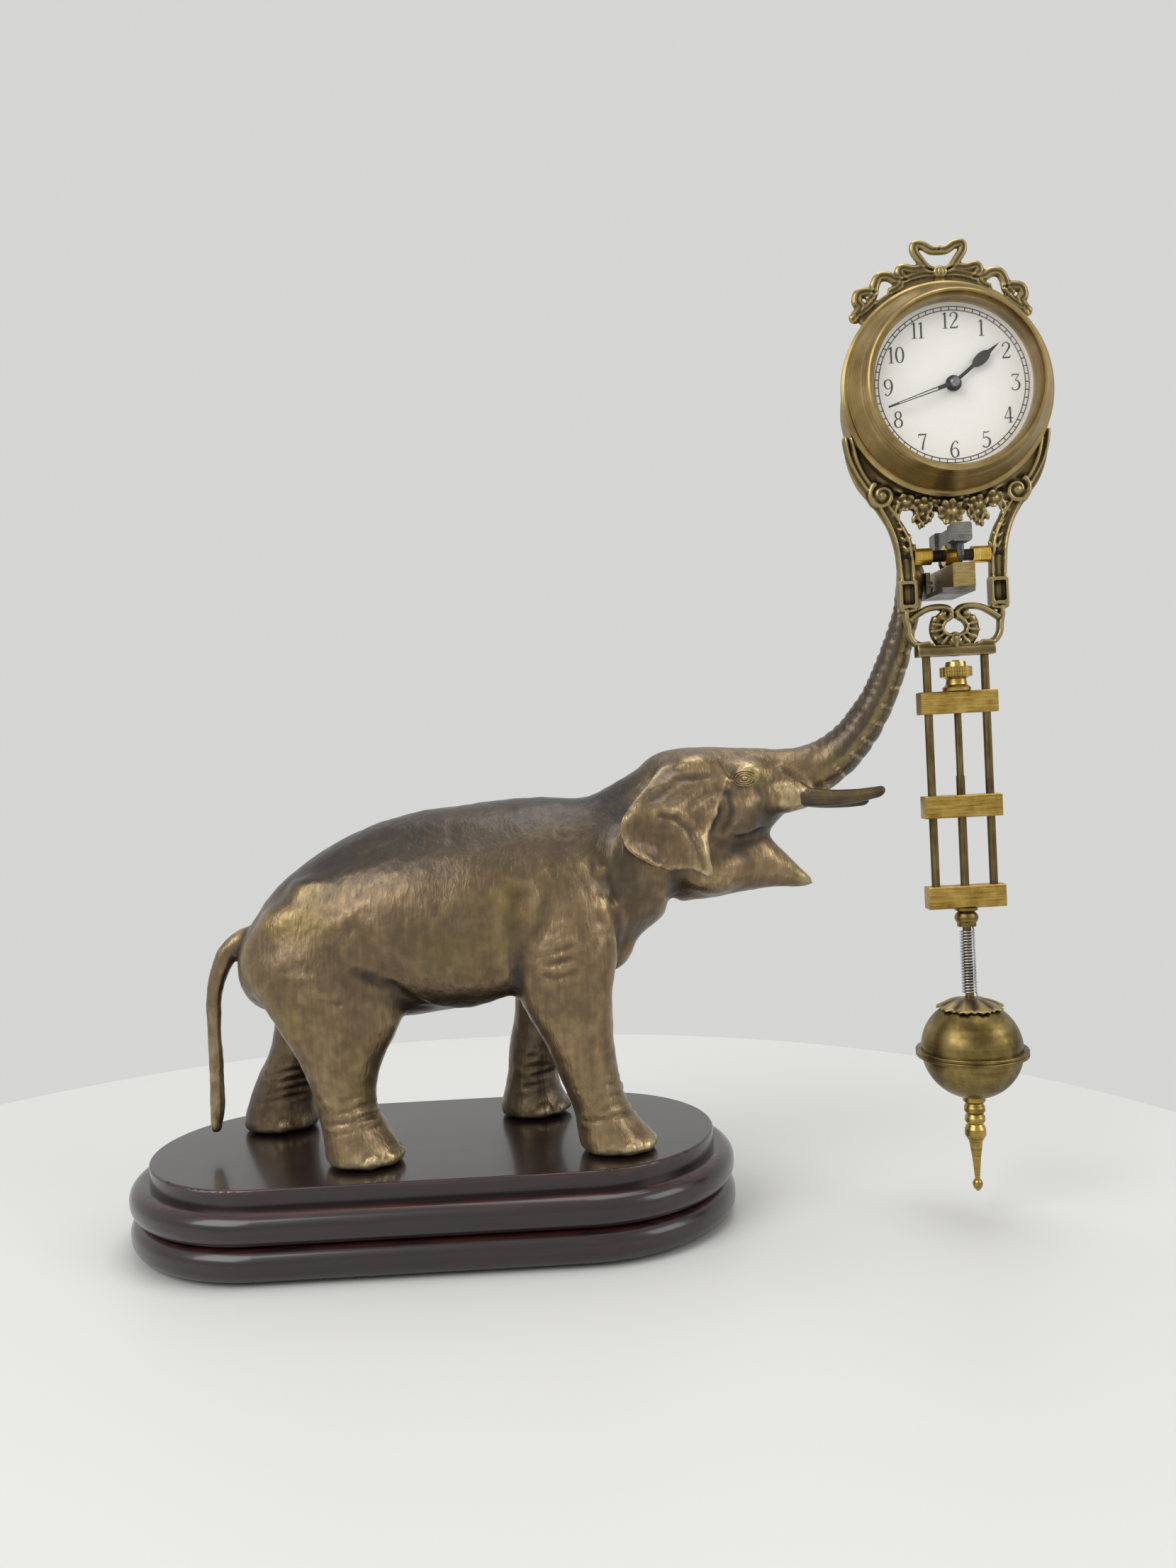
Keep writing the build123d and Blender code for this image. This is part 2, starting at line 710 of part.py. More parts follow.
with BuildPart() as bezel:
    add(turned(dial_axis, dial_turning, [
        (drum_radius, bezel_rear), (bezel_radius - 1.2, bezel_rear), (bezel_radius, bezel_rear + 0.9),
        (bezel_radius, bezel_rear + 2.4), (bezel_radius - 0.8, bezel_rear + 3.1),
        (bezel_radius - 1.6, bezel_rear + 3.2), (bezel_radius - 1.7, bezel_rear + 4.0),
        (bezel_radius - 2.6, bezel_rear + 5.6), (bezel_radius - 3.9, bezel_rear + 8.0),
        (bezel_radius - 5.2, bezel_rear + 10.6), (bezel_radius - 6.0, bezel_front - 0.9),
        (bezel_radius - 6.2, bezel_front - 0.3), (bezel_radius - 6.7, bezel_front),
        (glass_radius + 2 * run_gap, bezel_front), (glass_radius + 2 * run_gap, glass_seat),
        (dial_lip_radius, glass_seat), (dial_lip_radius, drum_front), (drum_radius, drum_front),
    ]))
save(bezel, "bezel")

dome_radius = (glass_radius ** 2 + glass_rise ** 2) / (2 * glass_rise)
dome_middle = glass_radius / 2
dome_middle_rise = math.sqrt(dome_radius ** 2 - dome_middle ** 2) - dome_radius + glass_rise
with BuildPart() as glass:
    inside = glass_seat
    outside = glass_seat + glass_thickness
    dome_inside = inside + dome_middle_rise
    dome_outside = outside + dome_middle_rise
    with BuildSketch(dial_turning):
        with BuildLine():
            Line((0, inside + glass_rise), (0, outside + glass_rise))
            ThreePointArc((0, outside + glass_rise), (dome_middle, dome_outside), (glass_radius, outside))
            Line((glass_radius, outside), (glass_radius, inside))
            ThreePointArc((glass_radius, inside), (dome_middle, dome_inside), (0, inside + glass_rise))
        make_face()
    revolve(axis=dial_axis)
save(glass, "glass")

hour_pipe_radius = arbor_diameter / 2 + run_gap + hour_pipe_wall
with BuildPart() as dial:
    with BuildSketch(dial_plane(drum_front - dial_thickness)):
        Circle(drum_bore - run_gap)
        Circle(hour_pipe_radius + loose_gap, mode=Mode.SUBTRACT)
    extrude(amount=dial_thickness)
    with BuildSketch(dial_plane(front_plate_front)):
        with PolarLocations(dial_foot_circle, 3, start_angle=90):
            Circle(dial_foot_diameter / 2)
    extrude(amount=drum_front - dial_thickness - front_plate_front)
save(dial, "dial")


# Gears: straight-flanked teeth, slim enough to run with backlash
def gear_outline(module, teeth, turn):
    """Points round a gear whose first tooth points at the angle turn, in degrees."""
    pitch_radius = module * teeth / 2
    tip_radius = pitch_radius + tooth_addendum * module
    root_radius = pitch_radius - tooth_dedendum * module
    step = 2 * math.pi / teeth
    outline = []
    for tooth in range(teeth):
        middle = math.radians(turn) + tooth * step
        flank = [(tooth_root, root_radius), (tooth_pitch, pitch_radius), (tooth_tip, tip_radius)]
        for share, radius in [(-share, radius) for share, radius in flank] + flank[::-1]:
            angle = middle + share * step
            outline.append((radius * math.cos(angle), radius * math.sin(angle)))
    return outline


def gear(rear, width, module, teeth, turn, centre=(0, 0), bore=0.0):
    """A gear whose rear face is at the distance rear along the dial axis."""
    rim = [(x + centre[0], y + centre[1]) for x, y in gear_outline(module, teeth, turn)]
    with BuildPart() as wheel:
        with BuildSketch(dial_plane(rear)):
            with BuildLine():
                Polyline(*rim, close=True)
            make_face()
            if bore > 0:
                with Locations(centre):
                    Circle(bore, mode=Mode.SUBTRACT)
        extrude(amount=width)
    return wheel.part


def rod_along_dial(radius, rear, front, centre=(0, 0), bore=0.0):
    """A round rod or tube along the dial axis between two distances."""
    with BuildPart() as rod:
        with BuildSketch(dial_plane(rear)):
            with Locations(centre):
                Circle(radius)
                if bore > 0:
                    Circle(bore, mode=Mode.SUBTRACT)
        extrude(amount=front - rear)
    return rod.part


motion_distance = gear_module * (cannon_teeth + minute_wheel_teeth) / 2
arbor_front = minute_hand_front
rear_plate_rear = rear_plate_front - plate_thickness
knob_front = drum_rear - cover_thickness - loose_gap
pivot_hole = arbor_diameter / 2 + run_gap
pinion_front = barrel_front - end_play
pinion_rear = pinion_front - 2 * gear_width
wheel_rear = pinion_rear + gear_width / 2

with BuildPart() as front_plate:
    add(rod_along_dial(plate_radius, shoulder_front, front_plate_front))
    stud_front = second_gear_rear + gear_width + end_play
    add(rod_along_dial(stud_radius, front_plate_front, stud_front, (motion_distance, 0)))
    with BuildSketch(dial_plane(front_plate_front)):
        Circle(pivot_hole)
        with Locations((0, barrel_centre)):
            Circle(barrel_arbor_diameter / 2 + run_gap)
        with Locations((0, balance_height)):
            Circle(arbor_diameter / 2 + run_gap)
    extrude(amount=-plate_thickness, mode=Mode.SUBTRACT)
save(front_plate, "front_plate")

with BuildPart() as rear_plate:
    add(rod_along_dial(rear_plate_radius, rear_plate_rear, rear_plate_front))
    with BuildSketch(dial_plane(rear_plate_front)):
        Circle(pivot_hole)
        with Locations((0, barrel_centre)):
            Circle(barrel_arbor_diameter / 2 + run_gap)
        with Locations((0, balance_height)):
            Circle(arbor_diameter / 2 + run_gap)
    extrude(amount=-plate_thickness, mode=Mode.SUBTRACT)
save(rear_plate, "rear_plate")

with BuildPart() as plate_pillars:
    with BuildSketch(dial_plane(rear_plate_front)):
        with PolarLocations(pillar_circle, 4, start_angle=45):
            Circle(pillar_diameter / 2)
    extrude(amount=shoulder_front - rear_plate_front)
save(plate_pillars, "plate_pillars")

with BuildPart() as centre_arbor:
    add(rod_along_dial(arbor_diameter / 2, knob_front - set_knob_length, arbor_front))
    add(gear(first_gear_rear, gear_width, gear_module, cannon_teeth, 0))
    add(gear(pinion_rear, 2 * gear_width, barrel_module, centre_pinion_teeth, -90))
save(centre_arbor, "centre_arbor")

with BuildPart() as minute_wheel:
    mesh_turn = 180 + 180 / minute_wheel_teeth
    add(gear(first_gear_rear, gear_width, gear_module, minute_wheel_teeth, mesh_turn, (motion_distance, 0),
             stud_radius + run_gap))
    add(gear(first_gear_rear + gear_width, second_gear_rear - first_gear_rear, gear_module,
             minute_pinion_teeth, 180, (motion_distance, 0), stud_radius + run_gap))
save(minute_wheel, "minute_wheel")

with BuildPart() as hour_wheel:
    half_tooth = 180 / hour_wheel_teeth
    add(gear(second_gear_rear, gear_width, gear_module, hour_wheel_teeth, half_tooth, (0, 0), pivot_hole))
    add(rod_along_dial(hour_pipe_radius, second_gear_rear, hour_hand_front, (0, 0), pivot_hole))
save(hour_wheel, "hour_wheel")

with BuildPart() as mainspring_barrel:
    add(rod_along_dial(barrel_radius, barrel_rear, barrel_front, (0, barrel_centre),
                       barrel_arbor_diameter / 2 + run_gap))
    add(gear(wheel_rear, gear_width, barrel_module, barrel_teeth, 90 + 180 / barrel_teeth, (0, barrel_centre),
             barrel_radius - 1))
save(mainspring_barrel, "mainspring_barrel")

with BuildPart() as balance_wheel:
    add(rod_along_dial(arbor_diameter / 2, rear_plate_rear, front_plate_front, (0, balance_height)))
    add(rod_along_dial(balance_radius, balance_front - balance_thickness, balance_front, (0, balance_height),
                       balance_radius - balance_rim))
    with BuildSketch(dial_plane(balance_front)):
        with Locations((0, balance_height)):
            Rectangle(2 * balance_radius - balance_rim, balance_arm)
    extrude(amount=-balance_thickness)
save(balance_wheel, "balance_wheel")

with BuildPart() as set_knob:
    knob_rear = knob_front - set_knob_length
    add(rod_along_dial(set_knob_diameter / 2, knob_rear, knob_front, (0, 0), arbor_diameter / 2))
    with BuildSketch(dial_plane(knob_front)):
        with PolarLocations(set_knob_diameter / 2, set_knob_flutes):
            Circle(set_knob_flute_radius)
    extrude(amount=-set_knob_length, mode=Mode.SUBTRACT)
save(set_knob, "set_knob")

key_barrel_rear = knob_front - key_reach / 2
with BuildPart() as winding_key:
    add(rod_along_dial(barrel_arbor_diameter / 2, knob_front, front_plate_front, (0, barrel_centre)))
    add(rod_along_dial(key_socket_radius, key_barrel_rear, knob_front, (0, barrel_centre)))
    wing_root = (pivot_x, pivot_y - key_barrel_rear - key_wing_overlap, dial_z + barrel_centre)
    with BuildSketch(Plane(origin=wing_root, x_dir=(1, 0, 0), z_dir=(0, 0, 1))):
        with Locations((-key_wing_width / 4, key_wing_height / 2), (key_wing_width / 4, key_wing_height / 2)):
            Ellipse(key_wing_width / 4, key_wing_height / 2)
        Rectangle(key_wing_width / 3, key_wing_height / 2, align=(Align.CENTER, Align.MIN))
    extrude(amount=key_thickness / 2, both=True)
save(winding_key, "winding_key")


# Hands, set at 1:42
def hand_plane(front, angle):
    """Plane at the rear of a hand, x across and y along it, turned clockwise from twelve."""
    turn = math.radians(angle)
    centre = dial_plane(front - hand_thickness).origin
    return Plane(origin=centre, x_dir=(math.cos(turn), 0, -math.sin(turn)), z_dir=(0, -1, 0))


with BuildPart() as hour_hand:
    with BuildSketch(hand_plane(hour_hand_front, hour_hand_angle)):
        Circle(hour_pipe_radius + 1.0)
        with Locations((0, hour_hand_length / 3)):
            Rectangle(1.2, 2 * hour_hand_length / 3)
        with Locations((0, 0.6 * hour_hand_length)):
            Ellipse(1.9, 3.6)
        spear = 0.7 * hour_hand_length
        with BuildLine():
            Polyline((-0.9, spear), (0.9, spear), (0, hour_hand_length), close=True)
        make_face()
        Circle(hour_pipe_radius, mode=Mode.SUBTRACT)
    extrude(amount=hand_thickness)
save(hour_hand, "hour_hand")

with BuildPart() as minute_hand:
    with BuildSketch(hand_plane(minute_hand_front, minute_hand_angle)):
        Circle(arbor_diameter / 2 + 1.1)
        with BuildLine():
            Polyline((-0.75, 0), (0.75, 0), (0.3, minute_hand_length), (-0.3, minute_hand_length), close=True)
        make_face()
        with BuildLine():
            Polyline((-0.32, 0.25 * minute_hand_length), (0.32, 0.25 * minute_hand_length),
                     (0.12, 0.85 * minute_hand_length), (-0.12, 0.85 * minute_hand_length), close=True)
        make_face(mode=Mode.SUBTRACT)
        Circle(arbor_diameter / 2, mode=Mode.SUBTRACT)
    extrude(amount=hand_thickness)
save(minute_hand, "minute_hand")

with BuildPart() as hand_nut:
    add(turned(dial_axis, dial_turning, [
        (0, minute_hand_front), (1.6, minute_hand_front), (1.6, minute_hand_front + 0.5),
        (1.1, minute_hand_front + 1.0), (0, minute_hand_front + 1.1),
    ]))
save(hand_nut, "hand_nut")

# Frame casting: a cradle under the drum, two arms with feet, volutes, a flower and garland leaves
frame_rear = -frame_thickness / 2
garland = [(6.4, 21.0, 3.0), (11.2, 22.6, 3.0), (10.6, 17.4, 2.8), (16.4, 23.6, 3.2)]
with BuildPart() as frame_casting:
    with BuildSketch(front_plane(frame_rear)):
        with Locations((0, dial_height)):
            Circle(cradle_outer_radius)
        with Locations((0, cradle_top)):
            Rectangle(4 * bezel_radius, 4 * bezel_radius, align=(Align.CENTER, Align.MIN), mode=Mode.SUBTRACT)
        for side in (-1, 1):
            with BuildLine():
                outer = Spline(arm_end(arm_outer_end, side), (side * 24.0, 22.6), (side * 18.6, 10.0),
                               (side * arm_outer, 0))
                Line(outer @ 1, (side * arm_outer, foot_bottom))
                Line((side * arm_outer, foot_bottom), (side * arm_inner, foot_bottom))
                Line((side * arm_inner, foot_bottom), (side * arm_inner, 8.0))
                inner = Spline((side * arm_inner, 8.0), (side * 14.6, 15.0), (side * 20.0, 24.0),
                               arm_end(arm_inner_end, side))
                Line(inner @ 1, outer @ 0)
            make_face()
            with Locations((side * volute_x, volute_z)):
                Circle(volute_radius)
            for x, z, radius in garland:
                with Locations((side * x, z)):
                    Circle(radius)
        with Locations((0, flower_z)):
            Circle(flower_radius)
        with Locations((0, dial_height)):
            Circle(drum_radius, mode=Mode.SUBTRACT)
    extrude(amount=frame_thickness)
    with BuildSketch(front_plane(-foot_panel_thickness / 2)):
        for side in (-1, 1):
            with Locations((side * (arm_inner + arm_outer) / 2, (foot_panel_top + foot_bottom) / 2)):
                Rectangle(2 * foot_half_width, foot_panel_top - foot_bottom)
    extrude(amount=foot_panel_thickness)
    add(cross_shaft.part, mode=Mode.SUBTRACT)
    add(shaft_collars.part, mode=Mode.SUBTRACT)
save(frame_casting, "frame_casting")

# Ribbon crest: a band over the drum with a bow, loops and trailing ends
with BuildPart() as crest_casting:
    with BuildSketch(front_plane(-crest_thickness / 2, dial_height)):
        half_turn = math.radians(crest_half_angle)
        reach = 2 * bezel_radius
        with BuildLine():
            Polyline((0, 0), (-reach * math.sin(half_turn), reach * math.cos(half_turn)), (0, reach),
                     (reach * math.sin(half_turn), reach * math.cos(half_turn)), close=True)
        make_face()
        Circle(crest_outer_radius, mode=Mode.INTERSECT)
        Circle(drum_radius, mode=Mode.SUBTRACT)
    extrude(amount=crest_thickness)
    for side in (-1, 1):
        with BuildSketch(front_plane(-crest_thickness / 2, dial_height)):
            with BuildLine():
                Spline(*[rim_point(place, side) for place in crest_bow])
            trace(line_width=crest_stroke)
        extrude(amount=crest_thickness)
        with BuildSketch(front_plane(-crest_thickness / 2, dial_height)):
            with BuildLine():
                Spline(*[rim_point(place, side) for place in crest_ribbon])
            trace(line_width=crest_stroke)
        extrude(amount=crest_thickness)
        with BuildSketch(front_plane(-crest_thickness / 2, dial_height)):
            with Locations(rim_point(crest_curl, side)):
                Circle(crest_curl_radius)
                Circle(crest_curl_eye, mode=Mode.SUBTRACT)
            with Locations(rim_point(crest_end, side)):
                Circle(crest_end_radius)
        extrude(amount=crest_thickness)
    with BuildSketch(front_plane(-crest_thickness / 2, dial_height)):
        with Locations(rim_point(crest_knot, 1)):
            Circle(crest_knot_radius)
    extrude(amount=crest_thickness + crest_knot_proud)
    with BuildSketch(front_plane(-crest_thickness, dial_height)):
        Circle(drum_radius)
    extrude(amount=2 * crest_thickness, mode=Mode.SUBTRACT)
save(crest_casting, "crest_casting")

# Lyre casting: scrolled lower frame with a heart opening and a foot plate for the rods
with BuildPart() as lyre_casting:
    with BuildSketch(front_plane(-lyre_thickness / 2)):
        for side in (-1, 1):
            with BuildLine():
                outer = Spline((side * 17.6, lyre_top), (side * 15.8, -17.0), (side * 9.8, -21.0),
                               (side * 11.6, -25.2))
                Line(outer @ 1, (side * 3.0, -25.2))
                Line((side * 3.0, -25.2), (side * 3.0, -21.4))
                inner = Spline((side * 3.0, -21.4), (side * 7.6, -18.2), (side * 11.4, -15.2),
                               (side * 13.2, lyre_top))
                Line(inner @ 1, outer @ 0)
            make_face()
            with Locations((side * 4.4, -16.0)):
                Circle(4.2)
                Circle(1.9, mode=Mode.SUBTRACT)
        with Locations((0, -20.6)):
            Circle(3.4)
        with Locations((0, lyre_bottom)):
            Rectangle(2 * lyre_plate_half_width, lyre_plate_height, align=(Align.CENTER, Align.MIN))
    extrude(amount=lyre_thickness)
    with BuildSketch(front_plane(-bar_depth / 2)):
        with Locations((0, lyre_bottom)):
            Rectangle(2 * lyre_plate_half_width, lyre_plate_height - 1, align=(Align.CENTER, Align.MIN))
    extrude(amount=bar_depth)
    with Locations((pivot_x, pivot_y, pivot_z + lyre_bottom)):
        Cylinder(centre_rod_thin_diameter / 2 + loose_gap, bob_lift + 1.5,
                 align=(Align.CENTER, Align.CENTER, Align.MIN), mode=Mode.SUBTRACT)
save(lyre_casting, "lyre_casting")

# Pendulum rods and bars
bottom_bar_bottom = bottom_bar_top - bar_height
with BuildPart() as outer_rods:
    with Locations(*[(pivot_x + side * rod_x, pivot_y, pivot_z + lyre_bottom) for side in (-1, 1)]):
        Cylinder(rod_diameter / 2, lyre_bottom - bottom_bar_bottom,
                 align=(Align.CENTER, Align.CENTER, Align.MAX))
save(outer_rods, "outer_rods")


def crossbar(top, hole_diameter):
    """One flat bar across the pendulum, bored for the outer rods and the centre rod."""
    with BuildPart() as bar:
        with Locations((pivot_x, pivot_y, pivot_z + top)):
            Box(2 * bar_half_width, bar_depth, bar_height, align=(Align.CENTER, Align.CENTER, Align.MAX))
            Cylinder(hole_diameter / 2 + run_gap, bar_height, align=(Align.CENTER, Align.CENTER, Align.MAX),
                     mode=Mode.SUBTRACT)
        chamfer(bar.edges().filter_by(Axis.X), 0.4)
        add(outer_rods.part, mode=Mode.SUBTRACT)
    return bar.part


with BuildPart() as top_bar:
    add(crossbar(top_bar_top, centre_rod_thin_diameter))
save(top_bar, "top_bar")

with BuildPart() as middle_bar:
    add(crossbar(middle_bar_top, centre_rod_diameter))
save(middle_bar, "middle_bar")

with BuildPart() as bottom_bar:
    add(crossbar(bottom_bar_top, centre_rod_diameter))
save(bottom_bar, "bottom_bar")

# Rating nut on the top bar, its knurled collar near the top
nut_bore = centre_rod_thin_diameter / 2 + run_gap
with BuildPart() as rating_nut:
    base = top_bar_top
    add(turned(upright_axis, upright_turning, [
        (nut_bore, base), (4.7, base), (4.7, base + 1.2), (3.6, base + 2.2), (3.3, base + 4.0),
        (3.9, base + 4.6), (nut_knurl_radius, base + 4.9), (nut_knurl_radius, base + 8.1), (3.6, base + 8.4),
        (3.3, base + nut_height), (nut_bore, base + nut_height),
    ]))
    with BuildSketch(Plane.XY.offset(pivot_z + base + 4.6)):
        with Locations((pivot_x, pivot_y)):
            with PolarLocations(nut_knurl_radius + 0.2, 20):
                Circle(0.55)
    extrude(amount=3.7, mode=Mode.SUBTRACT)
save(rating_nut, "rating_nut")

# Neck bush below the bottom bar, and the spring's seats
neck_bottom = bottom_bar_bottom - neck_length
neck_bore = centre_rod_diameter / 2 + run_gap
with BuildPart() as neck_bush:
    base = bottom_bar_bottom
    add(turned(upright_axis, upright_turning, [
        (neck_bore, base), (3.9, base), (3.9, base - 0.9), (2.7, base - 1.4), (3.4, base - 2.0),
        (3.9, base - 2.9), (neck_radius, base - 3.5), (3.8, base - 4.4), (3.2, base - 5.3),
        (3.2, base - neck_length), (neck_bore, base - neck_length),
    ]))
save(neck_bush, "neck_bush")

# Centre rod, ball, leaf cap and finial: the bob that the rating nut raises
cap_top = neck_bottom - spring_length
ball_centre = cap_top - cap_thickness - ball_radius
ball_bottom = ball_centre - ball_radius + 0.4
rod_bottom = ball_bottom - 6.0
with BuildPart() as centre_rod:
    add(turned(upright_axis, upright_turning, [
        (0, rod_bottom), (centre_rod_diameter / 2, rod_bottom), (centre_rod_diameter / 2, centre_rod_step),
        (centre_rod_thin_diameter / 2, centre_rod_step), (centre_rod_thin_diameter / 2, centre_rod_top),
        (0, centre_rod_top),
    ]))
save(centre_rod, "centre_rod")

ball_origin = (pivot_x, pivot_y, pivot_z + ball_centre)
seam_top = -1.0
with BuildPart() as ball_upper:
    with Locations(ball_origin):
        Sphere(ball_radius)
        with Locations((0, 0, seam_top)):
            Box(3 * ball_radius, 3 * ball_radius, 2 * ball_radius,
                align=(Align.CENTER, Align.CENTER, Align.MAX), mode=Mode.SUBTRACT)
            Cylinder(ball_flange_radius, ball_flange_thickness, align=(Align.CENTER, Align.CENTER, Align.MIN))
    fillet(edges().filter_by(GeomType.CIRCLE).sort_by(SortBy.RADIUS)[-2:], ball_flange_thickness / 3)
    add(centre_rod.part, mode=Mode.SUBTRACT)
save(ball_upper, "ball_upper")

with BuildPart() as ball_lower:
    with Locations(ball_origin):
        Sphere(ball_radius)
        with Locations((0, 0, seam_top)):
            Box(3 * ball_radius, 3 * ball_radius, 2 * ball_radius,
                align=(Align.CENTER, Align.CENTER, Align.MIN), mode=Mode.SUBTRACT)
            Cylinder(ball_flange_radius, ball_flange_thickness, align=(Align.CENTER, Align.CENTER, Align.MAX))
        with Locations((0, 0, ball_bottom - ball_centre)):
            Box(ball_radius, ball_radius, ball_radius, align=(Align.CENTER, Align.CENTER, Align.MAX),
                mode=Mode.SUBTRACT)
    fillet(edges().filter_by(GeomType.CIRCLE).sort_by(SortBy.RADIUS)[-2:], ball_flange_thickness / 3)
    add(centre_rod.part, mode=Mode.SUBTRACT)
save(ball_lower, "ball_lower")

with BuildPart() as leaf_cap:
    with Locations(ball_origin):
        Sphere(ball_radius + cap_thickness)
        Sphere(ball_radius, mode=Mode.SUBTRACT)
    with BuildSketch(Plane(origin=ball_origin)):
        Circle(cap_radius - 1.6)
        with PolarLocations(cap_radius - 2.6, cap_scallops):
            Circle(2.6)
    extrude(amount=2 * ball_radius, mode=Mode.INTERSECT)
    add(centre_rod.part, mode=Mode.SUBTRACT)
save(leaf_cap, "leaf_cap")

with BuildPart() as finial:
    top = ball_bottom
    tip = ball_bottom - finial_length
    with BuildSketch(upright_turning):
        with BuildLine():
            Polyline((0, top), (3.8, top), (3.8, top - 1.4), (2.9, top - 2.2), (3.5, top - 3.6),
                     (3.5, top - 5.0), (2.8, top - 5.8), (3.4, top - 7.0), (3.4, top - 8.4), (2.7, top - 9.4),
                     (3.5, top - 11.0), (3.6, top - 13.2), (2.3, top - 15.5), (1.5, top - 21.0),
                     (0.8, tip + 4.4))
            Spline((0.8, tip + 4.4), (1.7, tip + 2.6), (1.1, tip + 1.0), (0, tip))
            Line((0, tip), (0, top))
        make_face()
    revolve(axis=upright_axis)
    add(centre_rod.part, mode=Mode.SUBTRACT)
save(finial, "finial")


# Coil spring between the neck bush and the leaf cap, one wire wound on a helix of tangent arcs
def biarc(start, start_along, end, end_along):
    """Two tangent arcs that join the points with the given unit directions."""
    chord = end - start
    both = start_along + end_along
    reach = 2 * (1 - start_along.dot(end_along))
    tilt = chord.dot(both)
    arm = (math.sqrt(tilt * tilt + reach * chord.dot(chord)) - tilt) / reach
    meet = (start + start_along * arm + end - end_along * arm) * 0.5
    first = TangentArc(start, meet, tangent=start_along)
    second = TangentArc(meet, end, tangent=first % 1)
    return [first, second]


wire_half = spring_wire / 2
lead_out = 1.6 * spring_wire      # each end bends upright and runs straight into its seat
coil_bottom = pivot_z + cap_top + lead_out + spring_wire + run_gap
coil_top = pivot_z + neck_bottom - lead_out - spring_wire - run_gap
coil_rise = coil_top - coil_bottom
climb = coil_rise / (2 * math.pi * spring_turns)


def coil_point(turn):
    """A point on the wire's middle line, turn counted in radians."""
    return Vector(pivot_x + spring_radius * math.cos(turn), pivot_y + spring_radius * math.sin(turn),
                  coil_bottom + climb * turn)


def coil_along(turn):
    """The wire's direction at that point."""
    return Vector(-spring_radius * math.sin(turn), spring_radius * math.cos(turn), climb).normalized()


upright = Vector(0, 0, 1)
half_turns = 2 * spring_turns
coil_end = math.pi * half_turns
sideways = Vector(0, lead_out, 0)
first_bend = coil_point(0) - sideways - upright * lead_out
last_bend = coil_point(coil_end) + sideways + upright * lead_out
with BuildPart() as spring:
    with BuildLine() as wire_path:
        Line(first_bend - upright * spring_wire, first_bend)
        add(biarc(first_bend, upright, coil_point(0), coil_along(0)))
        for step in range(half_turns):
            begin = math.pi * step
            finish = math.pi * (step + 1)
            add(biarc(coil_point(begin), coil_along(begin), coil_point(finish), coil_along(finish)))
        add(biarc(coil_point(coil_end), coil_along(coil_end), last_bend, upright))
        Line(last_bend, last_bend + upright * spring_wire)
    with BuildSketch(Plane(origin=first_bend - upright * spring_wire)):
        Circle(wire_half)
    sweep(path=wire_path.wire())
save(spring, "spring")

# The wire's turns must stay apart
samples_per_turn = 24
sample_count = samples_per_turn * spring_turns + 1
coil_samples = [coil_point(2 * math.pi * step / samples_per_turn) for step in range(sample_count)]
nearest = min((second - first).length
              for early, first in enumerate(coil_samples)
              for second in coil_samples[early + samples_per_turn // 2:early + 2 * samples_per_turn])
print("least gap between the spring's turns", round(nearest - spring_wire, 3), "mm")
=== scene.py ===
"""Looks of a table clock: an elephant on a wooden base whose raised trunk carries a swinging brass clock.

Every size is in metres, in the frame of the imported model: X along the base, -Y to the viewer, Z up.
"""
import math

import bmesh
import bpy
import numpy as np
from mathutils import Matrix, Vector, noise


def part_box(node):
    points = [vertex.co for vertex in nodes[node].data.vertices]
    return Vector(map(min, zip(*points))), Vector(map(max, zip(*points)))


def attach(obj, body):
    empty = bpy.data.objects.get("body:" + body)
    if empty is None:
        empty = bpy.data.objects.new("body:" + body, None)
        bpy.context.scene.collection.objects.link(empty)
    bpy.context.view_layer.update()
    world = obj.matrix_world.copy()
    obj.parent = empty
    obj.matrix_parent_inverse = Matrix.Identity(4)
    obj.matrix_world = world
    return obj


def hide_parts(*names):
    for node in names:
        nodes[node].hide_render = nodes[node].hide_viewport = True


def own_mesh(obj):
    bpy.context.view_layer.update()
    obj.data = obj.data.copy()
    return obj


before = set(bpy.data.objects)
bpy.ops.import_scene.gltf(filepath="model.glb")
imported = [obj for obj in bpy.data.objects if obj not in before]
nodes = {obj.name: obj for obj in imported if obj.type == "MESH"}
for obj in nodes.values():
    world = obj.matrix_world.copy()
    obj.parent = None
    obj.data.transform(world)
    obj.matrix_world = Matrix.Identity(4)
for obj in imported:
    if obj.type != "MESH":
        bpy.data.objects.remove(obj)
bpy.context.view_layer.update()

# Base
# Two bead-edged layers and a top plate of turned and routed hardwood, stained near black and
# lacquered, screwed up into the elephant's feet. A felt pad is glued underneath.


def linear(hex_colour):
    """An sRGB hex colour as the linear RGBA that a shader socket takes."""
    channels = [int(hex_colour[place:place + 2], 16) / 255 for place in (1, 3, 5)]
    return [c / 12.92 if c <= 0.04045 else ((c + 0.055) / 1.055) ** 2.4 for c in channels] + [1.0]


def fill(node, inputs):
    """Link or set a node's inputs. A node given as a source stands for its first output."""
    for name, source in inputs.items():
        if isinstance(source, bpy.types.Node):
            source = source.outputs[0]
        if isinstance(source, bpy.types.NodeSocket):
            node.id_data.links.new(source, node.inputs[name])
        else:
            node.inputs[name].default_value = source


def put(tree, kind, inputs=None, stops=None, **settings):
    """Add a node, set its values, and link or set its inputs; stops fills a colour ramp."""
    made = tree.nodes.new(kind)
    for name, value in settings.items():
        setattr(made, name, value)
    fill(made, inputs or {})
    if stops:
        ramp = made.color_ramp
        while len(ramp.elements) < len(stops):
            ramp.elements.new(0.5)
        for element, (place, colour) in zip(ramp.elements, stops):
            element.position = place
            element.color = linear(colour)
    return made


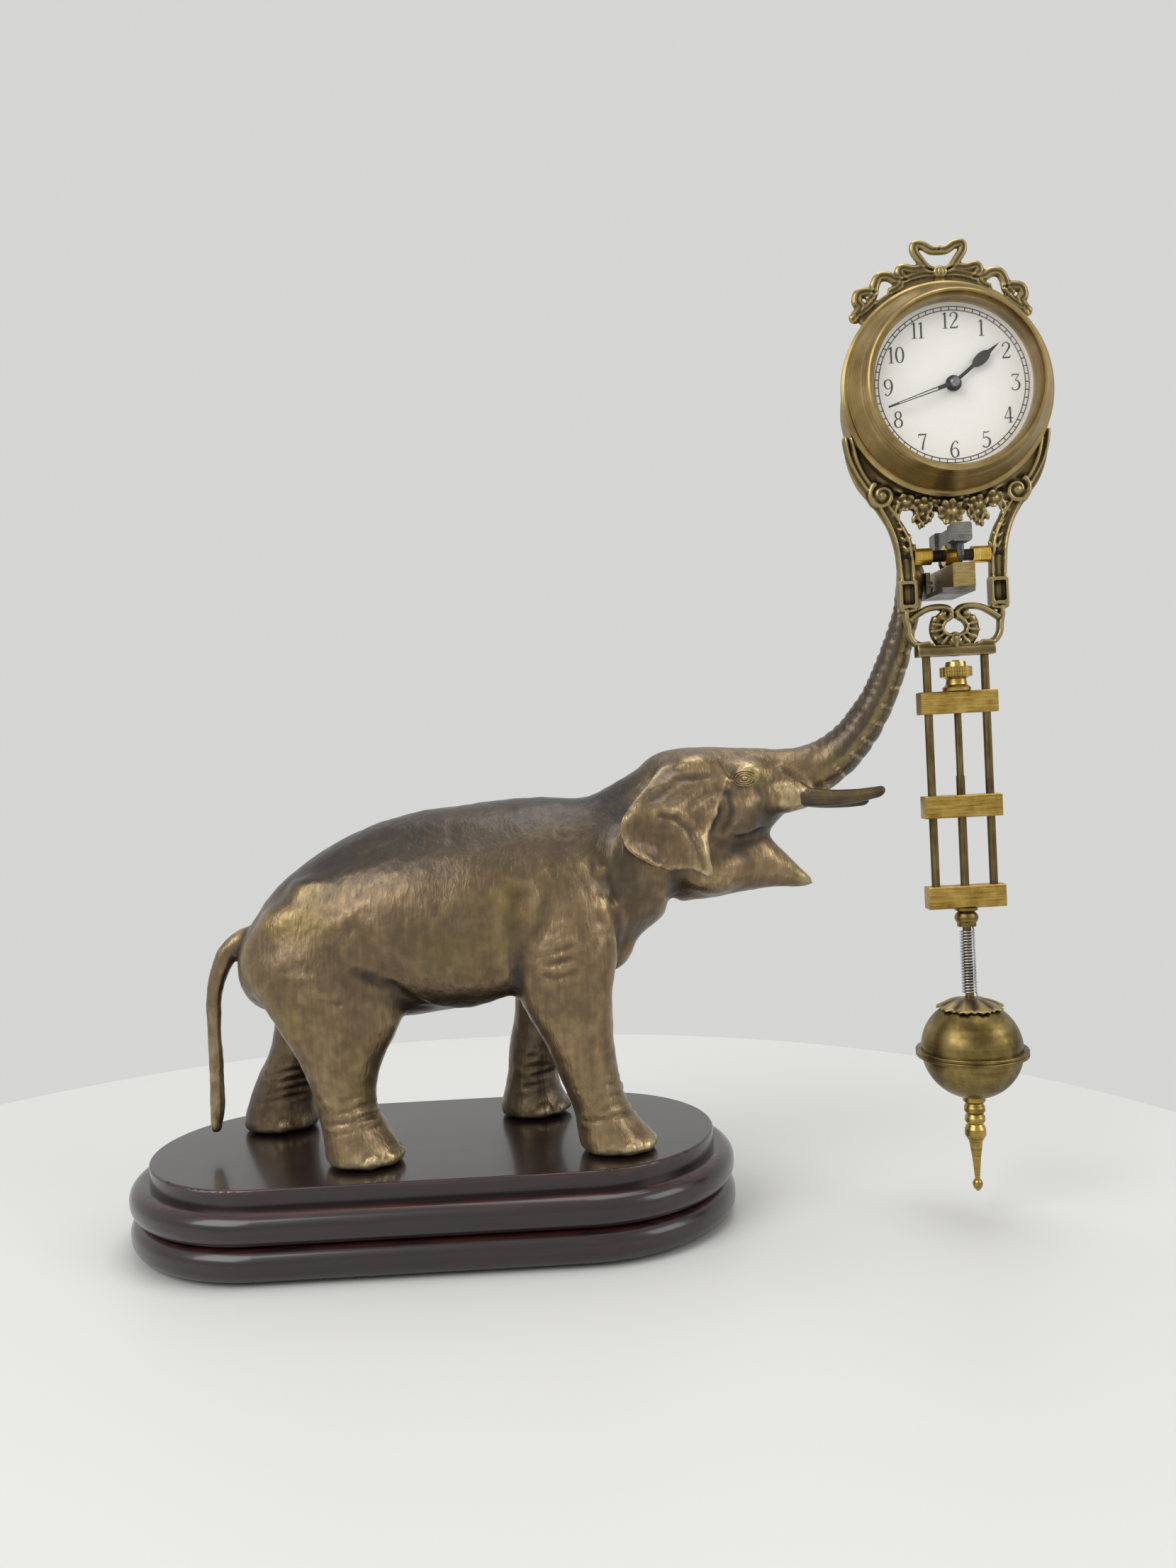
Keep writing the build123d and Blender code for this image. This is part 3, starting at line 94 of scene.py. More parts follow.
def finish_named(name):
    """A new material with an empty Principled surface, and its tree, shader and object coordinates."""
    material = bpy.data.materials.new(name)
    material.use_nodes = True
    tree = material.node_tree
    shader = tree.nodes["Principled BSDF"]
    place = put(tree, "ShaderNodeTexCoord").outputs["Object"]
    return material, tree, shader, place


def speckled(name, grain, detail, stops, surface, bump=None):
    """A finish of one fine grain, its size in metres; bump is the strength and depth of the grain."""
    material, tree, shader, place = finish_named(name)
    speck = put(tree, "ShaderNodeTexNoise", {"Vector": place, "Scale": 1 / grain, "Detail": detail})
    tone = put(tree, "ShaderNodeValToRGB", {"Fac": speck}, stops)
    fill(shader, {"Base Color": tone, **surface})
    if bump:
        strength, depth = bump
        fill(shader, {"Normal": put(tree, "ShaderNodeBump", {
            "Height": speck, "Strength": strength, "Distance": depth})})
    return material


def wear(material, *node_names):
    """Give CAD nodes their finish."""
    for name in node_names:
        data = nodes[name].data
        data.materials.clear()
        data.materials.append(material)


# Stained and lacquered hardwood: near black with red where the stain is thin, fine grain along the
# base, a clear coat that mirrors softly, and a redder rubbed line on the layers' upper arrises.
tiers = ("base_lower_tier", "base_upper_tier", "base_top_plate")
grain_across, haze_patch = 0.0016, 0.03
line_drop, line_half, line_fade = 0.7, 0.0004, 0.0007
lacquer, tree, shader, place = finish_named("lacquered_hardwood")
along = put(tree, "ShaderNodeMapping", {"Vector": place, "Scale": (0.08, 1.0, 1.0)})
grain = put(tree, "ShaderNodeTexNoise", {"Vector": along, "Scale": 1 / grain_across, "Detail": 5.0})
tone = put(tree, "ShaderNodeValToRGB", {"Fac": grain},
           [(0.3, "#120a0b"), (0.55, "#1d0f10"), (0.8, "#311414")])
height = put(tree, "ShaderNodeSeparateXYZ", {0: place}).outputs["Z"]
red_share = 0.0
for name in tiers:
    top = 1000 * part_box(name)[1].z
    off = put(tree, "ShaderNodeMath", {0: height, 1: (top - line_drop) * 0.001}, operation="SUBTRACT")
    gap = put(tree, "ShaderNodeMath", {0: off}, operation="ABSOLUTE")
    line = put(tree, "ShaderNodeMapRange", {
        "Value": gap, "From Min": line_half, "From Max": line_fade, "To Min": 0.55, "To Max": 0.0})
    red_share = put(tree, "ShaderNodeMath", {0: line, 1: red_share}, operation="MAXIMUM")
worn_grain = put(tree, "ShaderNodeMapRange", {"Value": grain, "From Min": 0.35, "From Max": 0.6})
rubbed_red = put(tree, "ShaderNodeMath", {0: red_share, 1: worn_grain}, operation="MULTIPLY")
stained = put(tree, "ShaderNodeMix", {"Factor": rubbed_red, 6: tone, 7: linear("#4c201d")},
              data_type="RGBA")
haze = put(tree, "ShaderNodeTexNoise", {"Vector": place, "Scale": 1 / haze_patch, "Detail": 3.0})
dull = put(tree, "ShaderNodeMapRange", {"Value": haze, "To Min": 0.26, "To Max": 0.38})
ripple = put(tree, "ShaderNodeBump", {"Height": grain, "Strength": 0.05, "Distance": 0.0002})
fill(shader, {"Base Color": stained.outputs[2], "Roughness": dull, "Normal": ripple, "IOR": 1.45,
              "Coat Weight": 0.55, "Coat Roughness": 0.12})
wear(lacquer, *tiers)

# Pressed wool felt: dark green, short loose fibres that scatter the light.
felt = speckled("pressed_felt", 0.0012, 6.0, [(0.3, "#14261b"), (0.7, "#284234")],
                {"Roughness": 0.95, "Sheen Weight": 0.3}, (0.6, 0.0004))
wear(felt, "felt_pad")

# Zinc-plated steel of the hidden wood screws: grey, fine turned lines.
zinc = speckled("zinc_plated_steel", 0.0006, 2.0, [(0.35, "#7f8083"), (0.65, "#a9aaac")],
                {"Metallic": 1.0, "Roughness": 0.38})
wear(zinc, "foot_screws")

# Elephant
# A lost-wax bronze: torso, head, jaw, legs, ears, trunk and tail run into one casting, chased by hand
# and patinated brown, with the high places rubbed back to yellow metal.
mm = 0.001


def curve_between(before, here, there, after, t):
    """The place at a share t of the way from here to there, on a smooth curve through all four."""
    return 0.5 * (2 * here + (there - before) * t + (2 * before - 5 * here + 4 * there - after) * t * t
                  + (3 * here - before - 3 * there + after) * t ** 3)


def limb(stations, sides=44, steps=7, sag=0.0):
    """Skin of a run of oval stations, each a centre and two half axes in mm, with closed ends.

    Points between stations follow a smooth curve. sag narrows the upper half and fills the lower one.
    """
    table = np.array([np.concatenate(station) for station in stations], float)
    count = len(table)
    rows = []
    for piece in range(count - 1):
        around = [table[min(max(piece + shift, 0), count - 1)] for shift in (-1, 0, 1, 2)]
        for step in range(steps if piece < count - 2 else steps + 1):
            rows.append(curve_between(*around, step / steps))
    turns = np.linspace(0, 2 * math.pi, sides, endpoint=False)
    cosine, sine = np.cos(turns)[:, None], np.sin(turns)[:, None]
    points = []
    for row in rows:
        points.append(row[:3] + cosine * (1 - sag * sine) * row[3:6] + sine * row[6:9])
    points = np.concatenate(points + [rows[0][None, :3], rows[-1][None, :3]])
    faces = []
    for ring in range(len(rows) - 1):
        for side in range(sides):
            beside = (side + 1) % sides
            faces.append((ring * sides + side, ring * sides + beside,
                          (ring + 1) * sides + beside, (ring + 1) * sides + side))
    first, last = len(rows) * sides, len(rows) * sides + 1
    end = (len(rows) - 1) * sides
    for side in range(sides):
        beside = (side + 1) % sides
        faces.append((first, beside, side))
        faces.append((last, end + side, end + beside))
    return points, faces


def lump(centre, radii, lean=0.0):
    """An egg shape in mm that stands for a muscle or a bone under the skin, leaning about Y in degrees."""
    cosine, sine = math.cos(math.radians(lean)), math.sin(math.radians(lean))
    up = np.array([sine, 0, cosine])
    ahead = np.array([cosine, 0, -sine])
    aside = np.array([0, 1.0, 0])
    stations = []
    for share in np.linspace(-1, 1, 9):
        swell = math.sqrt(max(1 - share * share, 0.004))
        stations.append((np.array(centre) + up * share * radii[2], ahead * radii[0] * swell,
                         aside * radii[1] * swell))
    return limb(stations, 28, 2)


def upright_oval(x, top, bottom, half_width, y=0.0):
    """A station across the body."""
    return (x, y, (top + bottom) / 2), (0, half_width, 0), (0, 0, (top - bottom) / 2)


def level_oval(height, x, y, half_length, half_width):
    """A station through a leg at a height above the deck."""
    return (x, y, deck + height), (half_length, 0, 0), (0, half_width, 0)


def mesh_object(name, parts):
    """One mesh object from lists of points in mm and faces."""
    points, faces, start = [], [], 0
    for part_points, part_faces in parts:
        points.append(np.asarray(part_points, float))
        faces += [tuple(int(corner) + start for corner in face) for face in part_faces]
        start += len(part_points)
    data = bpy.data.meshes.new(name)
    data.from_pydata((np.concatenate(points) * mm).tolist(), [], faces)
    made = bpy.data.objects.new(name, data)
    bpy.context.scene.collection.objects.link(made)
    shell = bmesh.new()
    shell.from_mesh(data)
    bmesh.ops.recalc_face_normals(shell, faces=shell.faces)
    shell.to_mesh(data)
    shell.free()
    data.polygons.foreach_set("use_smooth", np.ones(len(data.polygons), bool))
    return made


def baked(made):
    """Replace an object's mesh by its evaluated mesh and take the modifiers off."""
    bpy.context.view_layer.update()
    evaluated = made.evaluated_get(bpy.context.evaluated_depsgraph_get())
    data = bpy.data.meshes.new_from_object(evaluated)
    made.modifiers.clear()
    made.data = data
    data.polygons.foreach_set("use_smooth", np.ones(len(data.polygons), bool))
    return made


def fused(made, voxel):
    """Run overlapping closed shapes into one skin."""
    remesh = made.modifiers.new("fuse", "REMESH")
    remesh.mode = "VOXEL"
    remesh.voxel_size = voxel
    return baked(made)


deck = 30.0
torso = [upright_oval(*row) for row in (
    (-66.6, 102.5, 92.0, 5.0), (-64.8, 106.5, 87.0, 11.0), (-60.0, 113.0, 81.0, 17.5),
    (-48.0, 126.8, 77.0, 24.0), (-28.0, 139.4, 75.0, 29.0), (-6.0, 146.5, 75.0, 32.0),
    (18.0, 149.5, 78.0, 32.5), (42.0, 151.0, 83.0, 29.0), (60.0, 150.5, 87.0, 24.0),
    (76.0, 157.6, 98.0, 20.0), (88.0, 165.4, 107.0, 18.5))]
head = [upright_oval(*row) for row in (
    (76.0, 154.0, 112.0, 12.0), (84.0, 163.4, 112.0, 17.0), (94.0, 166.4, 114.0, 18.5),
    (106.0, 166.4, 120.0, 17.5), (116.0, 165.8, 127.0, 15.0), (126.0, 164.8, 134.5, 12.0),
    (132.0, 164.2, 140.0, 10.6), (137.0, 163.8, 144.0, 9.4), (143.0, 163.0, 147.0, 8.0))]
jaw = [upright_oval(*row) for row in (
    (92.0, 132.0, 110.0, 8.0), (104.0, 135.0, 111.5, 10.5), (116.0, 136.0, 113.0, 10.0),
    (124.0, 134.8, 114.0, 8.2), (130.0, 129.4, 114.0, 6.4), (136.0, 123.0, 113.6, 4.6),
    (140.0, 119.2, 113.4, 3.4), (142.8, 116.6, 113.6, 1.6))]
near_hind_leg = [level_oval(*row) for row in (
    (0.3, -21.0, -25.0, 13.0, 12.0), (3.0, -21.0, -25.0, 13.6, 12.4), (8.0, -22.5, -24.5, 12.4, 11.4),
    (20.0, -27.0, -23.0, 10.2, 10.2), (34.0, -28.0, -21.5, 14.2, 11.6), (48.0, -28.6, -19.8, 22.0, 13.0),
    (66.0, -33.4, -17.5, 26.6, 13.6), (82.0, -34.0, -14.5, 18.0, 12.0), (92.0, -33.0, -12.0, 10.0, 8.0))]
far_hind_leg = [level_oval(*row) for row in (
    (0.3, -60.6, 22.0, 13.8, 12.0), (3.0, -60.6, 22.0, 14.2, 12.4), (8.0, -60.0, 22.0, 13.2, 11.4),
    (19.0, -57.6, 21.5, 11.4, 10.2), (32.0, -50.0, 20.5, 12.6, 11.8), (48.0, -42.6, 18.8, 17.0, 13.0),
    (66.0, -39.0, 17.5, 21.5, 13.6), (82.0, -35.0, 14.5, 17.0, 12.0), (92.0, -34.0, 12.0, 10.0, 8.0))]
near_front_leg = [level_oval(*row) for row in (
    (0.3, 66.0, -25.0, 13.2, 12.0), (3.0, 66.0, -25.0, 13.6, 12.4), (7.0, 64.0, -24.6, 12.2, 11.4),
    (16.0, 60.0, -24.0, 9.8, 9.8), (26.0, 57.0, -23.4, 10.6, 10.2), (38.0, 54.0, -22.6, 12.2, 11.0),
    (52.0, 50.8, -21.5, 16.0, 12.0), (68.0, 50.2, -20.0, 18.8, 12.2), (88.0, 52.0, -16.5, 18.0, 11.0),
    (104.0, 53.0, -12.0, 13.0, 8.0))]
far_front_leg = [level_oval(*row) for row in (
    (0.3, 36.0, 23.0, 13.0, 12.0), (3.0, 36.0, 23.0, 13.4, 12.4), (7.0, 35.8, 23.0, 12.0, 11.4),
    (15.0, 35.5, 22.5, 9.8, 9.8), (26.0, 38.0, 22.2, 10.6, 10.2), (38.0, 42.0, 21.8, 12.2, 11.0),
    (52.0, 46.0, 20.8, 15.0, 12.0), (68.0, 49.0, 19.5, 18.0, 12.2), (88.0, 52.0, 16.5, 18.0, 11.0),
    (104.0, 53.0, 12.0, 13.0, 8.0))]
trunk_line = np.array([
    (126.0, 0.0, 152.5, 11.2), (136.0, -0.4, 154.0, 10.6), (145.0, -1.6, 157.0, 9.2),
    (154.0, -4.5, 163.0, 7.9), (162.0, -8.0, 173.0, 6.8), (168.0, -11.5, 185.0, 5.9),
    (172.5, -14.5, 198.0, 5.2), (175.6, -16.8, 210.0, 4.7), (177.0, -17.5, 219.0, 4.7),
    (177.4, -17.5, 224.4, 4.6), (177.4, -17.5, 226.4, 2.8)])
tail_line = np.array([
    (-58.0, 0.0, 106.0, 5.0), (-65.4, -0.4, 104.5, 4.4), (-72.0, -1.0, 98.8, 3.5), (-76.0, -1.8, 87.0, 2.9),
    (-76.8, -2.2, 72.0, 2.6), (-76.6, -2.5, 58.0, 2.5), (-77.0, -2.8, 46.0, 2.7), (-77.8, -3.0, 38.0, 2.1),
    (-78.2, -3.0, 36.4, 0.8)])


def tube(line, level):
    """Round stations along rows of (x, y, z, radius), square to the line, or level from side to side."""
    stations = []
    for step, (x, y, z, radius) in enumerate(line):
        ahead = line[min(step + 1, len(line) - 1), :3] - line[max(step - 1, 0), :3]
        across = np.cross((0.0, 1.0, 0.0), ahead)
        across *= radius / np.linalg.norm(across)
        aside = np.array((0, radius, 0)) if level else np.cross(ahead, across)
        aside *= radius / np.linalg.norm(aside)
        stations.append(((x, y, z), aside, across))
    return stations


def grade(values, start, span):
    """From 0 at the start to 1 a span further on; a negative span runs downwards."""
    return np.clip((values - start) / span, 0, 1)


def patch_at(*axes, power=2):
    """1 at a centre, fading out over its reach: each axis gives its values, the centre and the reach."""
    return np.exp(-sum(((values - centre) / reach) ** power for values, centre, reach in axes))


def ear_flap(side):
    """One ear: a dished sheet whose rear rim rolls outwards and whose front edge runs into the head."""
    outline = np.array([
        (110.0, 155.5), (107.6, 159.4), (104.5, 161.4), (96.0, 162.4), (89.8, 161.4), (85.4, 158.4),
        (81.0, 153.2), (76.4, 148.4), (72.7, 143.8), (71.6, 139.2), (73.4, 133.2), (78.2, 129.0),
        (84.1, 125.9), (89.4, 124.4), (94.0, 124.6), (98.0, 123.4), (101.8, 121.0), (103.4, 122.6),
        (102.4, 129.0), (102.6, 136.0), (106.0, 143.0), (108.6, 149.0)])
    corners = len(outline)
    rim = []
    for corner in range(corners):
        around = [outline[(corner + shift) % corners] for shift in (-1, 0, 1, 2)]
        rim += [curve_between(*around, t) for t in np.linspace(0, 1, 5, endpoint=False)]
    rim = np.array(rim)
    middle = np.array([93.0, 144.0])
    spokes = len(rim)
    shares = np.linspace(0, 1, 9)[1:]
    grid = np.array([middle] + [middle + (point - middle) * share for share in shares for point in rim])
    share = np.array([0.0] + [value for value in shares for point in rim])
    x, z = grid.T
    back = grade(x, 106.0, -34.0)
    head_round = np.clip((z - 139.75) / 26.0, 0, 0.97)
    stand = 18.6 * np.sqrt(1 - head_round ** 2)
    stand += 6.6 * back ** 1.1 * (0.2 + 0.8 * grade(z, 162.0, -18.0)) + 1.8 * grade(z, 150.0, -24.0)
    stand += 2.4 * share ** 5 * back * grade(z, 158.0, -8.0)
    stand -= 2.8 * patch_at((x, 84.5, 8.0), (z, 133.5, 7.0))
    stand += 2.2 * patch_at((x, 99.5, 3.0), (z, 129.0, 7.0))
    stand += 1.2 * patch_at((x, 88.0, 9.0), (z, 146.0, 4.0))
    half = 1.5 - 0.4 * share
    outer = np.stack([x, side * (stand + half), z], 1)
    inner = np.stack([x, side * (stand - half), z], 1)
    faces = []
    total = len(grid)
    for spoke in range(spokes):
        beside = (spoke + 1) % spokes
        faces.append((0, 1 + spoke, 1 + beside))
        faces.append((total, total + 1 + beside, total + 1 + spoke))
        for ring in range(len(shares) - 1):
            a, b = 1 + ring * spokes, 1 + (ring + 1) * spokes
            faces.append((a + spoke, b + spoke, b + beside, a + beside))
            faces.append((total + a + spoke, total + a + beside, total + b + beside, total + b + spoke))
        edge = 1 + (len(shares) - 1) * spokes
        faces.append((edge + spoke, total + edge + spoke, total + edge + beside, edge + beside))
    return np.concatenate([outer, inner]), faces


# Muscles and bones under the skin: where, how large, and how far they lean, mirrored.
muscle_rows = (
    ((50.0, 15.5, 113.0), (16.0, 11.5, 26.0), 8), ((56.0, 19.0, 104.0), (13.0, 10.0, 18.0), 0),
    ((-38.0, 16.0, 105.0), (20.0, 11.0, 19.0), -8), ((-30.0, 14.0, 121.0), (17.0, 9.0, 10.0), 0),
    ((-50.0, 14.0, 98.0), (13.0, 9.0, 15.0), 0), ((14.0, 17.0, 104.0), (34.0, 17.0, 25.0), 0),
    ((112.0, 10.0, 144.0), (12.0, 8.0, 12.0), 0), ((98.0, 8.0, 155.0), (11.0, 9.0, 10.0), 0),
    ((118.0, 11.0, 156.5), (7.0, 5.0, 5.0), 0), ((132.0, 9.6, 147.4), (10.8, 5.6, 6.6), 0),
    ((74.0, 13.0, 128.0), (14.0, 9.0, 20.0), 25), ((104.0, 7.0, 122.0), (14.0, 7.0, 9.0), 0),
    ((65.5, 5.0, 100.0), (11.0, 9.0, 14.0), 14))
muscles = [lump((x, side * y, z), radii, lean)
           for side in (-1, 1) for (x, y, z), radii, lean in muscle_rows]
legs = [limb(leg) for leg in (near_hind_leg, far_hind_leg, near_front_leg, far_front_leg)]
body_parts = [limb(torso, sag=0.1), limb(head, sag=-0.06)] + legs + [limb(jaw)] + muscles
coarse = mesh_object("elephant", body_parts)
fused(coarse, 1.7 * mm)


class Skin:
    """A casting's mesh held as arrays, so that it can be smoothed, creased and swelled."""

    def __init__(self, made):
        self.made = made
        self.read()

    def read(self):
        data = self.made.data
        self.points = np.empty(len(data.vertices) * 3)
        data.vertices.foreach_get("co", self.points)
        self.points = self.points.reshape(-1, 3) / mm
        edges = np.empty(len(data.edges) * 2, int)
        data.edges.foreach_get("vertices", edges)
        self.edges = edges.reshape(-1, 2)
        self.degree = np.bincount(self.edges.ravel(), minlength=len(self.points))[:, None]

    def mean(self, values):
        """The mean of each point's neighbours."""
        total = np.zeros_like(values)
        for column in range(values.shape[1]):
            total[:, column] += np.bincount(self.edges[:, 0], values[self.edges[:, 1], column], len(values))
            total[:, column] += np.bincount(self.edges[:, 1], values[self.edges[:, 0], column], len(values))
        return total / np.maximum(self.degree, 1)

    def smooth(self, rounds, keep=None):
        """Even the skin out without shrinking it much; keep holds points back, 1 holding them fast."""
        free = 1.0 if keep is None else (1 - keep)[:, None]
        for turn in range(rounds):
            self.points += 0.6 * free * (self.mean(self.points) - self.points)
            self.points -= 0.5 * free * (self.mean(self.points) - self.points)

    def normals(self):
        """Outward directions at the points."""
        self.write()
        out = np.empty(len(self.points) * 3)
        self.made.data.vertices.foreach_get("normal", out)
        return out.reshape(-1, 3)

    def write(self):
        self.made.data.vertices.foreach_set("co", (self.points * mm).ravel())
        self.made.data.update()

    def crease(self, path, depth, width, lip=0.0):
        """Press a groove along a path of points in mm, with a raised lip on both sides."""
        path = np.array(path, float)
        marks = []
        for start, end in zip(path[:-1], path[1:]):
            count = max(2, int(np.linalg.norm(end - start) / (0.4 * width)) + 1)
            marks.append(start + (end - start) * np.linspace(0, 1, count)[:, None])
        marks = np.concatenate(marks)
        reach = 3.2 * width
        near = np.all((self.points > marks.min(0) - reach) & (self.points < marks.max(0) + reach), axis=1)
        chosen = np.nonzero(near)[0]
        if len(chosen) == 0:
            return
        gaps = np.full(len(chosen), 1e9)
        for mark in marks:
            gaps = np.minimum(gaps, ((self.points[chosen] - mark) ** 2).sum(1))
        gaps = np.sqrt(gaps) / width
        move = -depth * np.exp(-gaps ** 2) + lip * np.exp(-((gaps - 1.7) / 0.7) ** 2)
        self.points[chosen] += self.normals()[chosen] * move[:, None]

    def swell(self, centre, radius, height):
        """Raise or sink a round place."""
        gaps = np.linalg.norm(self.points - np.array(centre, float), axis=1) / radius
        self.points += self.normals() * (height * np.exp(-gaps ** 2))[:, None]


form = Skin(coarse)
form.smooth(22)
form.write()


def take_in(made, extra):
    """Move an extra object's mesh into another object."""
    joined = bmesh.new()
    joined.from_mesh(made.data)
    joined.from_mesh(extra.data)
    joined.to_mesh(made.data)
    joined.free()
    bpy.data.objects.remove(extra)


# The limbs that stay thin join after the body is evened out, so that only their roots run into it.
thin_limbs = [limb(tube(trunk_line, False), 36, 9), limb(tube(tail_line, True), 24, 7),
              ear_flap(-1), ear_flap(1)]
take_in(coarse, mesh_object("thin_limbs", thin_limbs))
elephant = fused(coarse, 1.0 * mm)
skin = Skin(elephant)
skin.smooth(5)


def both(path):
    """The path on the near and the far side of the head."""
    return [np.array(path, float) * (1, side, 1) for side in (1, -1)]


def on_skin(x, z, side):
    """How far out the skin stands at a place on one side of the animal."""
    off_x, y, off_z = np.abs(skin.points - (x, 0, z)).T
    near = (off_x < 1.3) & (off_z < 1.3) & (side * skin.points[:, 1] > 0)
    return side * y[near].max()


def laid(path, side):
    """Points given by x and z, laid on the skin of one side."""
    return [(x, on_skin(x, z, side), z) for x, z in path]


# Mouth: the corner runs back under the cheek, and the lips stand up along the jaw.
for path in both([(128.0, -7.6, 136.0), (122.0, -10.4, 134.6), (116.0, -12.0, 134.4),
                  (111.0, -12.6, 135.4)]):
    skin.crease(path, 1.3, 1.5, 0.35)
# Eyes: a socket, a swelling for the ball, and the wrinkles that ring it.
for side in (-1, 1):
    eye = np.array((116.5, side * 15.4, 154.6))
    skin.swell(eye, 5.0, -1.5)
    skin.swell(eye, 1.8, 1.9)
    for reach, depth in ((2.0, 0.5), (3.2, 0.4), (4.4, 0.3)):
        for start, end in ((20, 165), (195, 335)):
            turns = np.radians(np.linspace(start, end, 9))
            arc = [eye + (1.3 * reach * math.cos(turn), 0, 0.75 * reach * math.sin(turn)) for turn in turns]
            skin.crease([(x, side * (15.6 - 0.12 * (x - 116)), z) for x, y, z in arc], depth, 0.75, 0.3)
# Temple hollow, cheek fold and the folds from the eye to the tusk.
for side in (-1, 1):
    skin.swell((109.0, side * 18.0, 149.0), 5.0, -1.0)
    skin.swell((104.0, side * 15.0, 164.0), 5.0, 0.8)
for path in both([(112.0, -17.4, 158.0), (110.6, -18.4, 150.0), (111.4, -18.0, 143.0),
                  (108.0, -17.4, 136.0)]):
    skin.crease(path, 0.9, 1.4, 0.3)
for side in (-1, 1):
    for start in (122.0, 125.2, 128.2, 131.2, 134.0, 136.6):
        skin.crease(laid([(start, 151.6), (start + 1.4, 147.6), (start + 1.0, 143.4)], side), -0.5, 0.85)
    skin.crease(laid([(131.0, 157.0), (137.0, 153.4), (141.0, 150.0)], side), 0.6, 0.9, 0.3)
# Neck: skin gathered in long folds behind the ear and down to the chest.
for place, top, foot, depth in ((68.0, 146.0, 116.0, 0.6), (63.5, 145.0, 112.0, 0.45),
                                (72.5, 140.0, 108.0, 0.8), (78.0, 128.0, 104.0, 0.6),
                                (84.0, 122.0, 107.0, 0.5)):
    middle = (top + foot) / 2 + 3
    for path in both([(place, -24.0, top), (place - 2.6, -25.0, middle), (place + 1.2, -22.0, foot)]):
        skin.crease(path, depth, 2.0, 0.3)
# Shoulder: the blade's edge, the fold behind the leg and short puckers over the joint.
for side in (-1, 1):
    skin.crease([(35.0, side * 30.0, 118.0), (33.0, side * 29.0, 106.0), (34.0, side * 26.0, 95.0),
                 (38.0, side * 23.0, 86.0)], 1.1, 3.4, 0.4)
    skin.crease([(44.0, side * 31.0, 133.0), (55.0, side * 29.0, 128.0), (63.0, side * 26.0, 119.0)],
                0.5, 3.0, 0.2)
    skin.crease([(66.0, side * 23.0, 122.0), (68.0, side * 21.0, 108.0), (69.0, side * 18.0, 97.0)],
                0.9, 2.4, 0.4)
    for row in range(7):
        z = 117.0 - 4.2 * row
        x = 46.0 + 1.5 * math.sin(2.3 * row)
        pucker = [(x - 5, side * 33.0, z + 0.8), (x, side * 33.0, z - 0.6),
                  (x + 6 + row % 3, side * 32.0, z + 1.2)]
        skin.crease(pucker, 0.4, 1.1, 0.25)
# Flank: the loose skin that runs from the belly to the knee, and the thigh's fold.
for side in (-1, 1):
    skin.crease(laid([(-20.0, 110.0), (-11.0, 98.0), (-5.0, 86.0)], side), 0.45, 4.2, 0.1)
    skin.crease(laid([(1.0, 83.0), (-8.0, 90.0), (-20.0, 96.0)], side), 0.4, 1.8, 0.25)
    skin.crease([(-46.0, side * 26.0, 92.0), (-36.0, side * 30.0, 89.0), (-26.0, side * 31.0, 86.0)],
                0.4, 1.3, 0.3)
    skin.crease([(-54.0, side * 22.0, 96.0), (-42.0, side * 28.0, 95.0), (-31.0, side * 30.0, 93.0)],
                0.35, 1.2, 0.25)
# Spine: a low ridge over the back, dished on both sides towards the hips.
for x in range(-52, 56, 6):
    skin.swell((x, 0, 128.0 + 0.2 * x if x < -20 else 146.0), 7.0, 0.35)
for side in (-1, 1):
    skin.crease([(-46.0, side * 15.0, 128.0), (-20.0, side * 19.0, 137.0), (12.0, side * 21.0, 142.0)],
                0.9, 6.0)
# Legs: rings of skin above the feet and five nails on each foot. Each row gives the foot's centre and half
# axes, then the ankle's centre and radius.
feet = ((-21.0, -25.0, 13.2, 12.2, -27.0, -23.2, 10.3), (-61.0, 22.0, 13.2, 12.2, -58.8, 21.6, 10.8),
        (66.0, -25.0, 13.2, 12.2, 60.0, -24.0, 10.0), (36.0, 23.0, 13.0, 12.2, 35.6, 22.6, 10.0))
for foot, (x, y, half_length, half_width, ankle_x, ankle_y, ankle) in enumerate(feet):
    reach = ankle + 0.4
    for row, height in enumerate((13.0, 16.2, 19.6, 23.5)):
        turns = np.radians(np.linspace(-110, 110, 15) + 25 * math.sin(row * 2.1 + foot))
        drift = (row - 1) * (-1.2 if foot != 1 else 1.4)
        ring = [(ankle_x + drift + reach * math.cos(turn), ankle_y - reach * math.sin(turn),
                 deck + height + 0.9 * math.sin(2 * turn)) for turn in turns]
        skin.crease(ring, 0.38, 0.9, 0.22)
    for angle in (-72, -36, 0, 36, 72):
        cosine, sine = math.cos(math.radians(angle)), math.sin(math.radians(angle))
        nail = np.array((x + 0.97 * half_length * cosine, y + 0.97 * half_width * sine, deck + 2.8))
        skin.swell(nail, 2.6, 0.9)
        top = [nail + (2.6 * math.cos(t) * -sine, 2.6 * math.cos(t) * cosine, 2.9 * math.sin(t))
               for t in np.linspace(0.2, math.pi - 0.2, 7)]
        skin.crease(top, 0.5, 0.8, 0.1)
